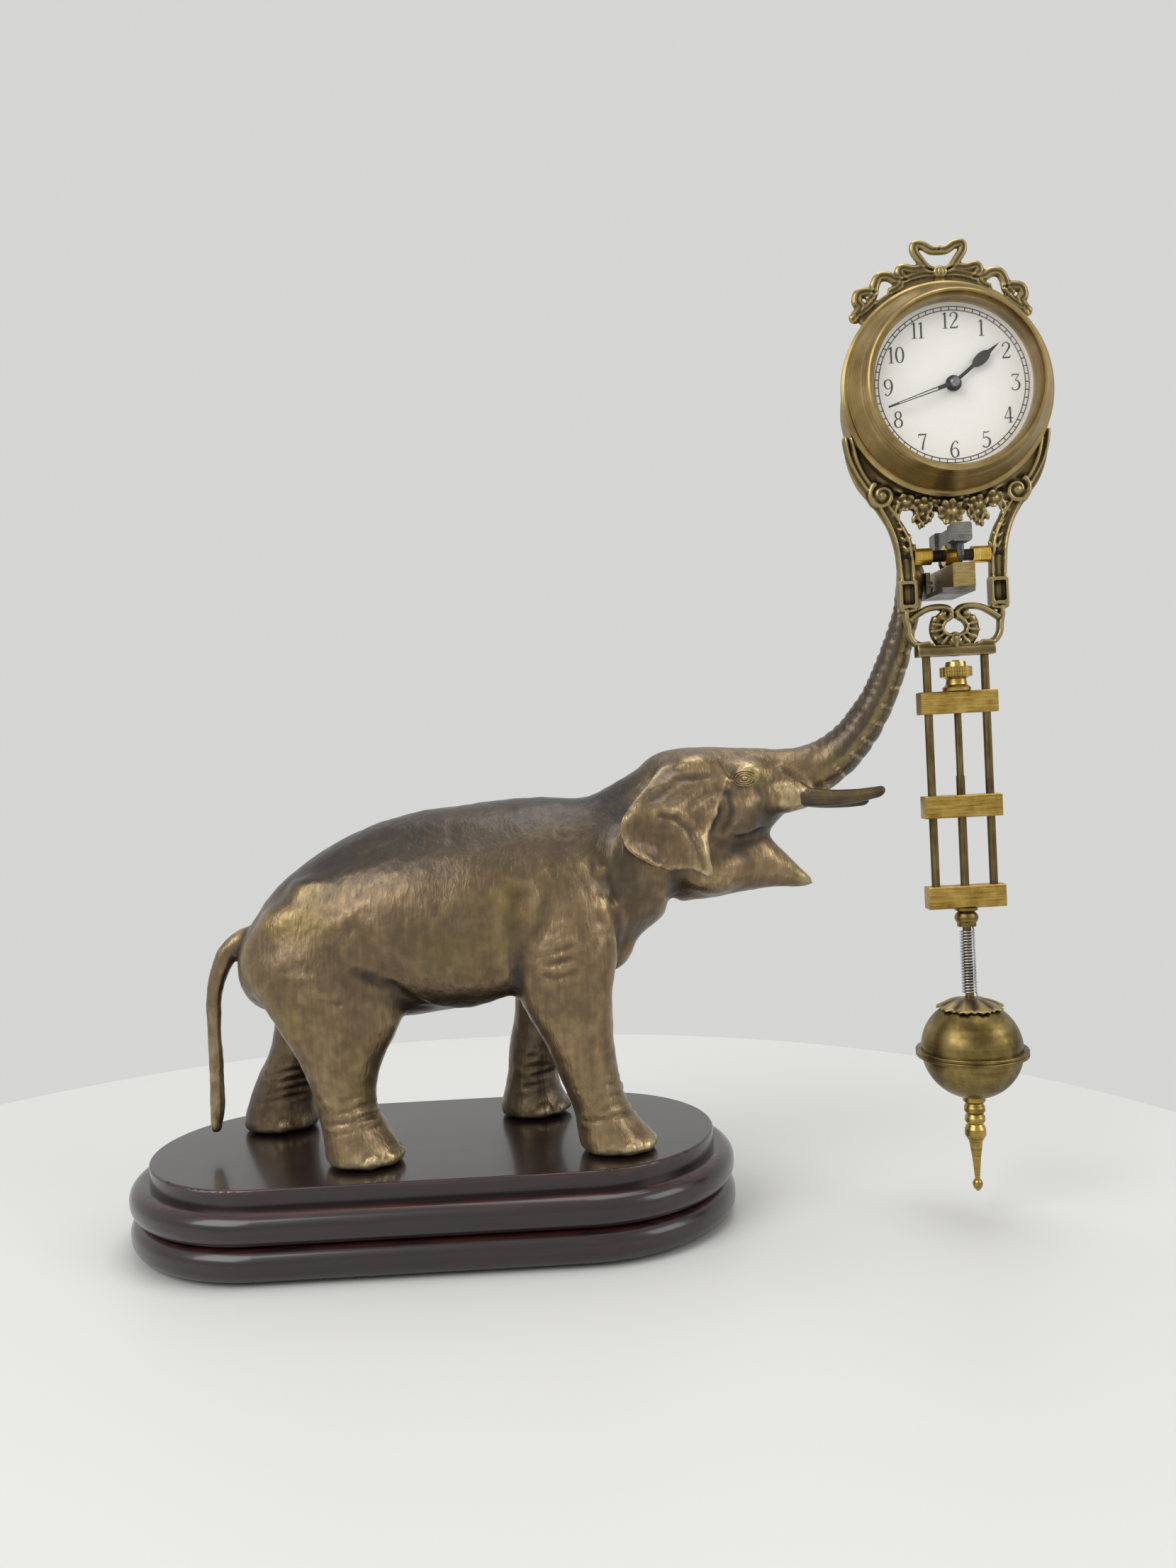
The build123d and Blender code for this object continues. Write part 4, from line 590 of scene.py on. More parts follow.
# Trunk: close rings over its top and broader plates below, drawn along its length.
spine = []
for first, second in zip(trunk_line[:-1], trunk_line[1:]):
    spine.append(first + (second - first) * np.linspace(0, 1, 24, endpoint=False)[:, None])
spine = np.concatenate(spine)
walked = np.concatenate([[0], np.cumsum(np.linalg.norm(np.diff(spine[:, :3], axis=0), axis=1))])
chosen = np.nonzero((skin.points[:, 0] > 128.0) & (skin.points[:, 2] > 141.0))[0]
gaps = ((skin.points[chosen][:, None, :] - spine[None, :, :3]) ** 2).sum(2)
nearest = np.clip(gaps.argmin(1), 0, len(spine) - 2)
ahead = spine[nearest + 1, :3] - spine[nearest, :3]
ahead /= np.linalg.norm(ahead, axis=1)[:, None]
outwards = skin.points[chosen] - spine[nearest, :3]
along_trunk = walked[nearest] + (outwards * ahead).sum(1)
under = (outwards[:, 0] * 0.75 - outwards[:, 2] * 0.6) / spine[nearest, 3]
inner_side = grade(under, 0.1, 0.12)
fade = grade(along_trunk, 16.0, 14.0) * grade(along_trunk, walked[-1] - 9.0, -4.0)
ring_pitch = 3.1
plate_wave = np.abs(np.sin(math.pi * along_trunk / (2.1 * ring_pitch)))
plates = plate_wave ** 0.35 - 0.9
rings = np.abs(np.sin(math.pi * along_trunk / ring_pitch)) ** 0.7 - 0.65
rings *= 0.22 + 0.9 * grade(-under, 0.35, 0.5)
wave = inner_side * plates + (1 - inner_side) * rings
wave -= 0.9 * np.exp(-((under - 0.12) / 0.14) ** 2)
skin.points[chosen] += skin.normals()[chosen] * (0.5 * fade * wave)[:, None]
# Ears: veins and shallow folds in the upper flap, and the deep fold that runs down into the lobe.
veins = ([(106, 152), (98, 149), (91, 142)], [(103, 156), (93, 155), (84, 149)],
         [(104, 147), (99, 143), (96, 136)], [(98, 160), (90, 159), (83, 155)])
lobe_fold = [(86.0, 143.6), (91.0, 141.8), (95.0, 138.4), (97.6, 133.6), (98.6, 128.6), (100.4, 123.8)]
for side in (-1, 1):
    for path in veins:
        skin.crease(laid(path, side), 0.25, 1.3, 0.15)
    skin.crease(laid(lobe_fold, side), 0.9, 1.3, 0.35)
# The chaser's hammer and the wax's own unevenness.
for scale, height in ((11.0, 0.35), (4.2, 0.16), (2.1, 0.09)):
    lift = np.array([noise.noise(Vector(point) / scale) for point in skin.points])
    skin.points += skin.normals() * (height * lift)[:, None]
# The feet stand flat on the deck, and the trunk's tip ends in the bracket's flat.
bracket_face = 1000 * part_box("trunk_bracket")[0].x
tip_foot, tip_gap = 205.0, 0.05
skin.points[:, 2] = np.maximum(skin.points[:, 2], deck)
tip = skin.points[:, 2] > tip_foot
skin.points[tip, 0] = np.minimum(skin.points[tip, 0], bracket_face - tip_gap)
skin.write()

# Eyeballs and the rings of wrinkled lid round them, chased up from the wax.
eye_x, eye_z = 116.6, 154.6
eye_parts = []
for side in (-1, 1):
    eye_parts.append(lump((eye_x, on_skin(eye_x, eye_z, side) - 0.3 * side, eye_z), (1.2, 1.1, 1.1)))
    for reach, thick in ((1.6, 0.45), (2.5, 0.38), (3.4, 0.32)):
        for first, last in ((8, 172), (190, 350)):
            lid = []
            for turn in np.radians(np.linspace(first, last, 13)):
                cosine, sine = math.cos(turn), math.sin(turn)
                x, z = eye_x + 1.3 * reach * cosine, eye_z + 0.78 * reach * sine
                thin = thick * (0.3 + 0.7 * sine ** 2)
                lid.append(((x, on_skin(x, z, side), z), (thin * cosine, 0, thin * sine), (0, thin, 0)))
            eye_parts.append(limb(lid, 10, 2))
take_in(elephant, mesh_object("eyes", eye_parts))
skin.read()


def depths(shape, fine_rounds, wide_rounds):
    """How deep each point lies below its close and its wider surroundings, along its outward direction."""
    out = shape.normals()
    fine = ((shape.mean(shape.points) - shape.points) * out).sum(1)[:, None]
    for turn in range(fine_rounds):
        fine = shape.mean(fine)
    wide = shape.points.copy()
    for turn in range(wide_rounds):
        wide = shape.mean(wide)
    return fine[:, 0], ((wide - shape.points) * out).sum(1)


def store(made, name, values):
    """Keep a value for each point on the mesh, for its material to read."""
    layer = made.data.attributes.new(name, "FLOAT", "POINT")
    layer.data.foreach_set("value", values.astype(np.float32))


# What the rubbing cloth reached: hollows stay dark, ridges are bright, the back keeps its brown.
# Painted shade darkens what faces down, the belly most, the far side low down, the neck under the ears and
# the mouth's corner.
hollow, wide = depths(skin, 3, 26)
rubbed = np.clip(0.5 - 3.4 * hollow - 0.24 * wide, 0, 1)
x, y, z = skin.points.T
facing_up = skin.normals()[:, 2]
patina_and_painted_shade = 0.9 * grade(facing_up, 0.2, 0.5) * grade(z, 112.0, 14.0) * grade(x, 104.0, -30.0)
# Painted shade on what faces downwards, the belly most of all.
patina_and_painted_shade += 0.55 * grade(-facing_up, 0.2, 0.6)
# Painted shade on the far side low down, over the far legs.
patina_and_painted_shade += 0.6 * grade(y, 4.0, 10.0) * grade(z, 84.0, -16.0)
for side in (-1, 1):
    rubbed += 0.3 * patch_at((x, 118.0, 9.0), (y, side * 15.0, 5.0), (z, 155.0, 4.5))
    rubbed += 0.3 * patch_at((x, 136.0, 8.0), (y, side * 10.0, 5.0), (z, 151.0, 5.0))
# Painted shadow of the ear flaps on the neck under them.
patina_and_painted_shade += 0.75 * patch_at((x, 72.0, 8.0), (z, 126.0, 17.0)) * (np.abs(y) < 24.5)
# Painted shade in the mouth's corner under the cheek.
patina_and_painted_shade += 0.7 * patch_at((x, 120.0, 9.0), (z, 139.0, 6.0))
patina_and_painted_shade += 0.3 * patch_at((x, 10.0, 20.0), (z, 104.0, 14.0))
patina_and_painted_shade[chosen] += fade * (0.45 + 0.35 * grade(along_trunk, 20.0, 12.0) * (1 - inner_side))
plate_edge = np.clip(1.6 - 7.0 * plate_wave, 0, 1) * inner_side
seam = np.exp(-((under - 0.12) / 0.1) ** 2)
rubbed[chosen] += fade * (1.0 * plate_edge + 0.35 * seam)
yellow = 0.7 * patch_at((x, 121.0, 4.5), (z, 155.6, 2.6)) * (np.abs(y) > 8.0)
yellow += 0.4 * patch_at((x, -36.0, 8.0), (z, 113.0, 7.0))
yellow += 0.4 * patch_at((x, 32.0, 5.0), (z, 118.0, 11.0))
yellow[chosen] += fade * (0.8 * seam + 0.3 * plate_edge)
flap = patch_at((x, 87.0, 13.0), (z, 134.0, 11.0), power=4) * (np.abs(y) > 20.0)
rubbed += 0.65 * flap * (0.62 - rubbed)
rubbed += 0.14 * patch_at((x, 54.0, 14.0), (z, 112.0, 13.0))
tail_share = grade(x, -67.0, -4.0)
patina_and_painted_shade += 0.35 * tail_share
rubbed -= 0.15 * tail_share
patina_and_painted_shade[chosen] *= 1 - 0.95 * np.clip(plate_edge + 0.8 * seam, 0, 1)
patina_and_painted_shade += 0.5 * grade(z, 213.0, 6.0) * (x > 150.0)
store(elephant, "rubbed", rubbed)
store(elephant, "patina_and_painted_shade", np.clip(patina_and_painted_shade, 0, 1))
store(elephant, "yellow", np.clip(yellow, 0, 1))

# Patinated cast bronze: brown liver patina over yellow metal, rubbed through on high places, with an olive
# bloom in patches. Fine wrinkles are cut in the wax about 1.5 mm apart, drawn that coarse so they show.
wrinkle_pitch, fleck_size, patch_size, olive_size = 0.0015, 0.0028, 0.022, 0.03
bronze, tree, shader, place = finish_named("patinated_bronze")
rubbing, shade, worn = [put(tree, "ShaderNodeAttribute", attribute_name=name).outputs["Fac"]
                        for name in ("rubbed", "patina_and_painted_shade", "yellow")]
patch = put(tree, "ShaderNodeTexNoise", {"Vector": place, "Scale": 1 / patch_size, "Detail": 4.0,
                                         "Roughness": 0.6})
fleck = put(tree, "ShaderNodeTexNoise", {"Vector": place, "Scale": 1 / fleck_size, "Detail": 4.0})
upright = put(tree, "ShaderNodeMapping", {"Vector": place, "Scale": (1.0, 1.0, 0.1),
                                          "Rotation": (0.0, 0.12, 0.0)})
wrinkle = put(tree, "ShaderNodeTexNoise", {"Vector": upright, "Scale": 1 / wrinkle_pitch, "Detail": 3.0,
                                           "Distortion": 0.6})
level = rubbing
for texture, share in ((fleck, 0.45), (wrinkle, 0.28), (patch, 0.5)):
    level = put(tree, "ShaderNodeMath", {0: texture, 1: share, 2: level}, operation="MULTIPLY_ADD")
tone_place = put(tree, "ShaderNodeMath", {0: level, 1: 0.6}, operation="MULTIPLY")
metal = put(tree, "ShaderNodeValToRGB", {"Fac": tone_place}, [
    (0.36, "#2f2822"), (0.54, "#534535"), (0.7, "#735f45"), (0.86, "#957e5b"), (1.0, "#c6b288")])
olive_place = put(tree, "ShaderNodeTexNoise", {"Vector": place, "Scale": 1 / olive_size, "Detail": 3.0,
                                               "Distortion": 0.4})
olive_share = put(tree, "ShaderNodeMapRange", {"Value": olive_place, "From Min": 0.56, "From Max": 0.74,
                                               "To Max": 0.5})
olive_share = put(tree, "ShaderNodeMath", {0: olive_share, 1: worn}, operation="MAXIMUM")
olive = put(tree, "ShaderNodeMix", {"Factor": olive_share, 6: metal, 7: linear("#7a6c2a")},
            data_type="RGBA")
cloud = put(tree, "ShaderNodeMapRange", {"Value": patch, "From Min": 0.3, "From Max": 0.6, "To Min": 0.7,
                                         "To Max": 1.0})
# This dark brown is patina on the back, trunk and tail, and painted shade below, under the ears and at the
# mouth.
deep = put(tree, "ShaderNodeMath", {0: shade, 1: cloud}, operation="MULTIPLY")
brown = put(tree, "ShaderNodeMix", {"Factor": deep, 6: olive.outputs[2], 7: linear("#322e2d")},
            data_type="RGBA")
gloss = put(tree, "ShaderNodeMapRange", {"Value": level, "From Min": 0.7, "From Max": 1.4, "To Min": 0.5,
                                         "To Max": 0.33})
fine = put(tree, "ShaderNodeBump", {"Height": wrinkle, "Strength": 0.55, "Distance": 0.0005})
rough = put(tree, "ShaderNodeBump", {"Height": fleck, "Strength": 0.22, "Distance": 0.0006, "Normal": fine})
fill(shader, {"Base Color": brown.outputs[2], "Roughness": gloss, "Normal": rough, "Metallic": 0.82,
              "Coat Weight": 0.28, "Coat Roughness": 0.34})
elephant.data.materials.append(bronze)
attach(elephant, "stand")
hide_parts("elephant_body", "trunk", "right_ear", "left_ear", "tail")

# Tusks
# Short blunt tusks cast in bronze on their own, pushed into sockets in the upper lip and pinned.
tusk_line = ((127.0, 9.6, 149.0, 4.0), (133.0, 10.8, 147.6, 3.7), (140.0, 12.0, 146.6, 3.3),
             (148.0, 12.9, 146.1, 2.9), (156.0, 12.9, 146.4, 2.5), (162.0, 12.4, 147.1, 2.2),
             (165.2, 12.1, 147.6, 1.9), (166.6, 12.0, 147.8, 0.9))
far_tusk_drop, drop_from, tusk_width = 0.14, 136.0, 0.86
tusk_skins = []
for side in (-1, 1):
    stations = []
    for x, y, z, radius in tusk_line:
        sunk = far_tusk_drop * max(x - drop_from, 0) if side > 0 else 0.0
        stations.append(((x, side * y, z - sunk), (0, tusk_width * radius, 0), (0.12 * radius, 0, radius)))
    tusk_skins.append(limb(stations, 28, 6))
tusks = fused(mesh_object("tusks", tusk_skins), 0.45 * mm)
tusk_skin = Skin(tusks)
tusk_skin.smooth(4)
for side in (-1, 1):
    for lift, depth in ((1.6, 0.30), (0.2, 0.22), (-1.2, 0.30)):
        groove = [(x, side * (y + tusk_width * radius), z + lift * radius / 3.4)
                  for x, y, z, radius in tusk_line[2:6]]
        tusk_skin.crease(groove, depth, 0.55, 0.08)
tusk_skin.write()
# Painted light: the tusks' undersides are painted in shade and their tops a little lighter; the tips are
# darker.
facing_up = tusk_skin.normals()[:, 2]
shade = 0.25 + 0.55 * np.clip(-facing_up, 0, 1) + 0.35 * grade(tusk_skin.points[:, 0], 161.0, 5.0)
store(tusks, "rubbed", 0.42 + 0.12 * facing_up)
store(tusks, "patina_and_painted_shade", np.clip(shade, 0, 1))
tusks.data.materials.append(bronze)
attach(tusks, "stand")
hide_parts("right_tusk", "left_tusk")

# Frame casting
# A brass sand casting pinned behind the bezel: leaves climb the drum, a volute turns on each side, a
# garland of flowers hangs between them, and two reeded arms end in buckled feet. Antiqued, then rubbed
# bright.
pivot_x, pivot_y, pivot_z = 189.0, -26.0, 222.0
dial_rise = 60.4


def hung(x, rise, out=0.0):
    """A point of the hanging clock in mm: sideways and up from the pins, out towards the viewer."""
    return np.array((pivot_x + x, pivot_y - out, pivot_z + rise))


def strand(path, sides=18, steps=6):
    """A cast strand along a path of (x, rise, half width, half depth, out) rows, pinched shut at its ends."""
    rows = np.array(path, float)
    stations = []
    for place, (x, rise, half_width, half_depth, out) in enumerate(rows):
        ahead = rows[min(place + 1, len(rows) - 1), :2] - rows[max(place - 1, 0), :2]
        ahead = ahead / np.linalg.norm(ahead)
        across = np.array((-ahead[1], 0.0, ahead[0])) * half_width
        stations.append((hung(x, rise, out), across, np.array((0.0, -half_depth, 0.0))))
    for end, beside in ((0, 1), (-1, -2)):
        centre, across, depth = stations[end]
        push = centre - stations[beside][0]
        push *= 0.5 * np.linalg.norm(across) / np.linalg.norm(push)
        tip = (centre + push, across * 0.25, depth * 0.25)
        stations = [tip] + stations if end == 0 else stations + [tip]
    return limb(stations, sides, steps)


def rail(side, path, half_width, half_depth, out):
    """A strand of one section on one side of the clock, along points given by x and rise."""
    return strand([(side * x, rise, half_width, half_depth, out) for x, rise in path])


def curl(centre, wide, tight, turns, start, way, thick, out=0.0):
    """Rows of a scroll that winds from its wide end to its tight end; start in degrees, way 1 or -1."""
    count = int(14 * turns) + 1
    rows = []
    for step in range(count):
        share = step / (count - 1)
        reach = wide + (tight - wide) * share ** 0.8
        turn = math.radians(start) + way * 2 * math.pi * turns * share
        rows.append((centre[0] + reach * math.cos(turn), centre[1] + reach * math.sin(turn),
                     thick * (1 - 0.45 * share), thick * (1.1 - 0.2 * share), out))
    return rows


def petal_ring(centre, reach, count, out, button, start=0.0):
    """A rosette: petals round a button."""
    parts = []
    width = 0.8 * reach * math.pi / count
    for step in range(count):
        turn = math.radians(start) + 2 * math.pi * step / count
        along = np.array((math.cos(turn), math.sin(turn)))
        rows = [(*(np.array(centre) + along * reach * share), width * swell, 0.8, out + lift)
                for share, swell, lift in ((0.25, 0.6, 0.4), (0.55, 1.0, 0.1), (0.85, 0.95, 0.3),
                                           (1.0, 0.5, 0.5))]
        parts.append(strand(rows, 12, 4))
    x, rise = centre
    parts.append(lump(hung(x, rise, out + 0.7), (button, 0.9, button)))
    return parts


def leaf(path, width, out, lobes=3):
    """A cast leaf along a path: a rib with pairs of lobes that shorten towards the tip."""
    path = np.array(path, float)
    last = len(path) - 1
    rib = [(*point, width * 0.28 * (1 - 0.6 * place / last), 0.9, out + 0.5)
           for place, point in enumerate(path)]
    parts = [strand(rib, 12, 5)]
    for place in range(lobes):
        share = (place + 0.4) / lobes * last
        first = min(int(share), last - 1)
        point = path[first] + (path[first + 1] - path[first]) * (share - first)
        ahead = path[first + 1] - path[first]
        ahead /= np.linalg.norm(ahead)
        aside = np.array((-ahead[1], ahead[0]))
        size = width * (1 - 0.22 * place)
        for way in (-1, 1):
            bend = point + way * aside * size * 0.5 + ahead * size * 0.35
            tip = point + way * aside * size * 0.78 + ahead * size * 0.85
            parts.append(strand([(*point, size * 0.3, 0.9, out), (*bend, size * 0.34, 0.9, out + 0.2),
                                 (*tip, size * 0.16, 0.7, out + 0.1)], 12, 4))
    return parts


def flat_bar(x, rise, half_width, half_height, out, half_depth):
    """A plain square-cornered bar of a casting."""
    corners = [hung(x + i * half_width, rise + k * half_height, out + j * half_depth)
               for i in (-1, 1) for j in (-1, 1) for k in (-1, 1)]
    faces = [(0, 1, 3, 2), (4, 6, 7, 5), (0, 4, 5, 1), (2, 3, 7, 6), (0, 2, 6, 4), (1, 5, 7, 3)]
    return np.array(corners), faces


def arc_band(inner, outer, start, end, rear, front, steps=48):
    """A flat curved band of a casting round the dial's axis, its angles in degrees."""
    points, faces = [], []
    for step in range(steps + 1):
        turn = math.radians(start + (end - start) * step / steps)
        for reach, out in ((inner, rear), (outer, rear), (outer, front), (inner, front)):
            points.append(hung(reach * math.cos(turn), dial_rise + reach * math.sin(turn), out))
    for step in range(steps):
        for corner in range(4):
            beside = (corner + 1) % 4
            faces.append((4 * step + corner, 4 * step + beside, 4 * step + 4 + beside,
                          4 * step + 4 + corner))
    faces += [(0, 3, 2, 1), (4 * steps, 4 * steps + 1, 4 * steps + 2, 4 * steps + 3)]
    return np.array(points), faces


def rub(shape, fine_gain, wide_rounds, wide_gain, level):
    """Store on the mesh how far each place stands proud, where a cloth brightens it, as rubbed."""
    fine, wide = depths(shape, 2, wide_rounds)
    store(shape.made, "rubbed", np.clip(level - fine_gain * fine - wide_gain * wide, 0, 1))


# Antiqued cast brass: yellow metal under a brown-black stain that stays in the hollows, with a faint green
# cast; ridges are rubbed to a satin gold and the skin keeps a little of the sand's grain.
sand_grain, stain_patch = 0.0007, 0.006
antique, tree, shader, place = finish_named("antiqued_brass")
rubbing = put(tree, "ShaderNodeAttribute", attribute_name="rubbed").outputs["Fac"]
stain = put(tree, "ShaderNodeTexNoise", {"Vector": place, "Scale": 1 / stain_patch, "Detail": 5.0,
                                         "Roughness": 0.65})
grit = put(tree, "ShaderNodeTexNoise", {"Vector": place, "Scale": 1 / sand_grain, "Detail": 3.0})
level = put(tree, "ShaderNodeMath", {0: stain, 1: 0.5, 2: rubbing}, operation="MULTIPLY_ADD")
tone = put(tree, "ShaderNodeValToRGB", {"Fac": level}, [
    (0.3, "#251e15"), (0.5, "#423725"), (0.7, "#605237"), (0.88, "#807049"), (1.0, "#a59366")])
gloss = put(tree, "ShaderNodeMapRange", {"Value": level, "From Min": 0.35, "From Max": 1.0, "To Min": 0.55,
                                         "To Max": 0.3})
pits = put(tree, "ShaderNodeBump", {"Height": grit, "Strength": 0.18, "Distance": 0.0002})
fill(shader, {"Base Color": tone, "Roughness": gloss, "Normal": pits, "Metallic": 0.92})

outer_edge = [(34.6, 46.0), (33.6, 40.0), (31.2, 34.0), (27.6, 28.0), (23.4, 21.4), (20.2, 14.6),
              (18.4, 8.0), (17.7, 0.0), (17.6, -4.0)]
inner_edge = [(21.6, 23.6), (18.4, 18.6), (15.6, 13.8), (14.0, 9.0), (13.6, 2.0), (13.6, -4.0)]
drum_edge = [(26.6, 29.6), (29.0, 33.4), (30.8, 37.6), (31.8, 42.0), (32.4, 46.0)]
web = [(33.0, 45.0, 2.2), (31.0, 38.0, 3.4), (27.4, 31.4, 4.4), (23.4, 25.0, 3.6), (20.6, 19.4, 2.9),
       (17.6, 13.0, 2.4), (16.1, 7.0, 2.2), (15.6, 0.0, 2.0), (15.6, -4.0, 2.0)]
garland = [(3.4, 22.4, 1.9, 1.7, 0.2), (9.0, 22.6, 2.4, 1.8, 0.2), (14.6, 23.6, 2.3, 1.8, 0.2),
           (20.0, 24.6, 2.2, 1.8, 0.2)]
garland_drop = [(10.8, 20.6, 1.6, 1.6, 0.2), (10.8, 17.6, 1.3, 1.5, 0.2), (9.4, 15.4, 0.8, 1.2, 0.3)]
toe = [(12.8, -12.6, 0.9, 2.0, 0.1), (15.6, -13.2, 0.8, 2.1, 0.1), (18.4, -12.4, 1.0, 2.0, 0.1)]
leaf_paths = (([(6.4, 21.6), (7.6, 19.4), (8.2, 17.2)], 2.4),
              ([(11.6, 20.4), (11.0, 17.8), (9.2, 15.2)], 2.7),
              ([(17.4, 23.4), (18.6, 21.0), (18.8, 18.8)], 2.2))
arm_x, volute = 15.6, (22.9, 26.2)


def mirrored(side, rows):
    """Rows whose first value is a distance sideways, put on one side of the clock."""
    return [(side * row[0], *row[1:]) for row in rows]


ornament = [arc_band(30.1, 37.4, 203.0, 337.0, -2.1, 1.7), arc_band(36.0, 40.2, 232.0, 308.0, -1.9, 0.9)]
for side in (-1, 1):
    volute_x, volute_rise = side * volute[0], volute[1]
    ornament.append(rail(side, outer_edge, 0.95, 2.3, 0.3))
    ornament.append(rail(side, inner_edge, 0.8, 2.2, 0.3))
    ornament.append(strand([(side * x, rise, half, 1.9, 0.0) for x, rise, half in web]))
    ornament.append(lump(hung(volute_x, volute_rise, 0.2), (5.2, 2.3, 5.0)))
    ornament.append(strand(curl((volute_x, volute_rise), 4.8, 1.1, 1.5, 90 - 30 * side, -side, 0.95, 1.9)))
    ornament.append(lump(hung(volute_x, volute_rise, 1.9), (1.6, 1.3, 1.6)))
    ornament.append(rail(side, drum_edge, 0.8, 0.9, 1.6))
    ornament += leaf(mirrored(side, [(14.0, 5.4), (14.5, 9.2), (15.8, 12.8), (17.8, 16.4)]), 2.4, 1.6, 3)
    ornament += petal_ring((side * 9.4, 22.0), 3.1, 6, 1.6, 0.9, 15)
    ornament += petal_ring((side * 15.0, 23.6), 2.9, 5, 1.5, 0.8, 40)
    ornament += petal_ring((side * 5.4, 23.8), 1.9, 5, 1.2, 0.6, 0)
    for path, width in leaf_paths:
        ornament += leaf(mirrored(side, path), width, 1.2, 2)
    ornament.append(strand(mirrored(side, garland)))
    ornament.append(strand(mirrored(side, garland_drop)))
    ornament.append(flat_bar(side * arm_x, -8.2, 3.0, 5.3, -0.6, 1.9))
    for edge_x, edge_rise, half_width, half_height in ((-2.55, -7.6, 0.55, 4.4), (2.55, -7.6, 0.55, 4.4),
                                                       (0, -3.6, 3.1, 0.6), (0, -11.6, 3.1, 0.6)):
        ornament.append(flat_bar(side * arm_x + edge_x, edge_rise, half_width, half_height, 0.6, 2.0))
    ornament.append(strand(mirrored(side, toe)))
ornament += petal_ring((0.0, 19.6), 4.6, 9, 1.9, 1.5)
ornament.append(lump(hung(0.0, 20.0, 0.3), (4.0, 2.1, 4.0)))
frame_relief = fused(mesh_object("frame_relief", ornament), 0.34 * mm)
relief = Skin(frame_relief)
relief.smooth(2)
for side in (-1, 1):
    for share in (-1, 0, 1):
        relief.crease([hung(side * (arm_x + 1.0 * share), rise, 1.2) for rise in (-10.0, -5.2)], 0.3, 0.36)
    for step in range(16):
        rise = -1.6 + 0.95 * step
        x = arm_x + (0.0 if rise < 4 else 0.02 * (rise - 4) ** 2)
        relief.crease([hung(side * (x - 0.9), rise, 1.1), hung(side * (x + 0.9), rise, 1.1)], 0.16, 0.3)
relief.write()
rub(relief, 6.0, 14, 0.9, 0.52)
frame_relief.data.materials.append(antique)
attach(frame_relief, "clock")
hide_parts("frame_casting")

# Crest casting
# A ribbon tied in a bow over the drum, its ends trailing down both sides of the bezel. Cast in brass in one
# piece with the band that holds it, antiqued like the frame.


def smooth_path(points, steps=8):
    """Points of a smooth curve through the given ones."""
    table = np.array(points, float)
    last = len(table) - 1
    rows = []
    for piece in range(last):
        around = [table[min(max(piece + shift, 0), last)] for shift in (-1, 0, 1, 2)]
        rows += [curve_between(*around, t) for t in np.linspace(0, 1, steps, endpoint=piece == last - 1)]
    return rows


# The loop of the bow and the trailing ends, as points above the dial's centre, each with its half width.
ribbons = (
    ([(0.8, 40.2), (4.2, 42.0), (6.4, 44.8), (8.2, 47.6), (8.0, 49.8), (5.4, 49.6), (2.6, 48.0),
      (0.0, 47.8)], 1.6),
    ([(0.8, 40.2), (5.0, 41.8), (9.0, 41.6), (12.6, 42.2), (13.6, 40.6), (12.2, 38.8)], 1.7),
    ([(0.8, 39.6), (5.0, 39.9), (9.6, 39.0), (13.2, 37.6)], 1.7),
    ([(11.4, 38.2), (14.8, 38.4), (17.6, 39.8), (20.4, 39.6), (22.0, 37.2), (22.8, 34.0), (24.4, 32.0)],
     1.8),
    ([(13.4, 36.8), (14.4, 35.6), (17.0, 34.4)], 1.6),
    ([(21.8, 34.4), (24.8, 34.8), (27.6, 34.2), (28.4, 31.6), (27.2, 29.8), (28.6, 27.4), (30.0, 25.6)],
     1.9),
    ([(22.8, 31.4), (25.0, 29.4), (27.6, 27.6)], 1.6))
bow = [arc_band(30.1, 38.4, 42.0, 138.0, -1.5, 1.0)]
ribbon_lines = []
for side in (-1, 1):
    for points, width in ribbons:
        line = [(side * x, dial_rise + rise) for x, rise in smooth_path(points)]
        ribbon_lines.append(line)
        bow.append(strand([(x, rise, width, 1.05, 0.3) for x, rise in line], 18, 8))
    bow.append(lump(hung(side * 29.4, dial_rise + 26.2, 0.2), (1.9, 1.3, 1.9)))
bow.append(lump(hung(0.0, dial_rise + 40.2, 0.8), (2.5, 1.9, 2.4)))
bow.append(lump(hung(0.0, dial_rise + 38.0, 0.2), (2.2, 1.4, 2.6)))
crest_relief = fused(mesh_object("crest_relief", bow), 0.32 * mm)
relief = Skin(crest_relief)
relief.smooth(2)
for line in ribbon_lines:
    relief.crease([hung(x, rise, 1.1) for x, rise in line], 0.32, 0.45, 0.1)
for x in (-0.9, 0.0, 0.9):
    relief.crease([hung(x, dial_rise + 41.8, 2.5), hung(x * 1.3, dial_rise + 38.6, 2.5)], 0.25, 0.35)
relief.write()
rub(relief, 6.0, 12, 0.8, 0.52)
crest_relief.data.materials.append(antique)
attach(crest_relief, "clock")
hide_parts("crest_casting")

# Lyre casting
# The pendulum's upper part: two scrolled arms that hang from the frame's feet, a heart between their curls,
# a bud, and a plate that the rods are riveted into. Antiqued cast brass.
hanger = smooth_path([(16.2, -12.6), (16.4, -15.0), (15.8, -18.6), (15.5, -21.4), (14.0, -23.9),
                      (11.2, -25.2), (9.6, -25.6)])
over = smooth_path([(15.2, -16.4), (12.1, -14.2), (8.8, -12.6), (4.8, -12.2), (2.0, -12.9), (1.0, -14.6),
                    (2.2, -16.2), (4.2, -16.0), (4.8, -14.6)])
heart = smooth_path([(0.6, -15.6), (2.8, -16.9), (4.2, -18.9), (3.7, -20.9), (1.6, -22.0), (0.0, -21.4)])
fan = smooth_path([(5.6, -16.0), (6.6, -18.6), (6.4, -21.6), (4.6, -24.0), (1.6, -25.0)])
fan_ribs = 6
scrolls = []
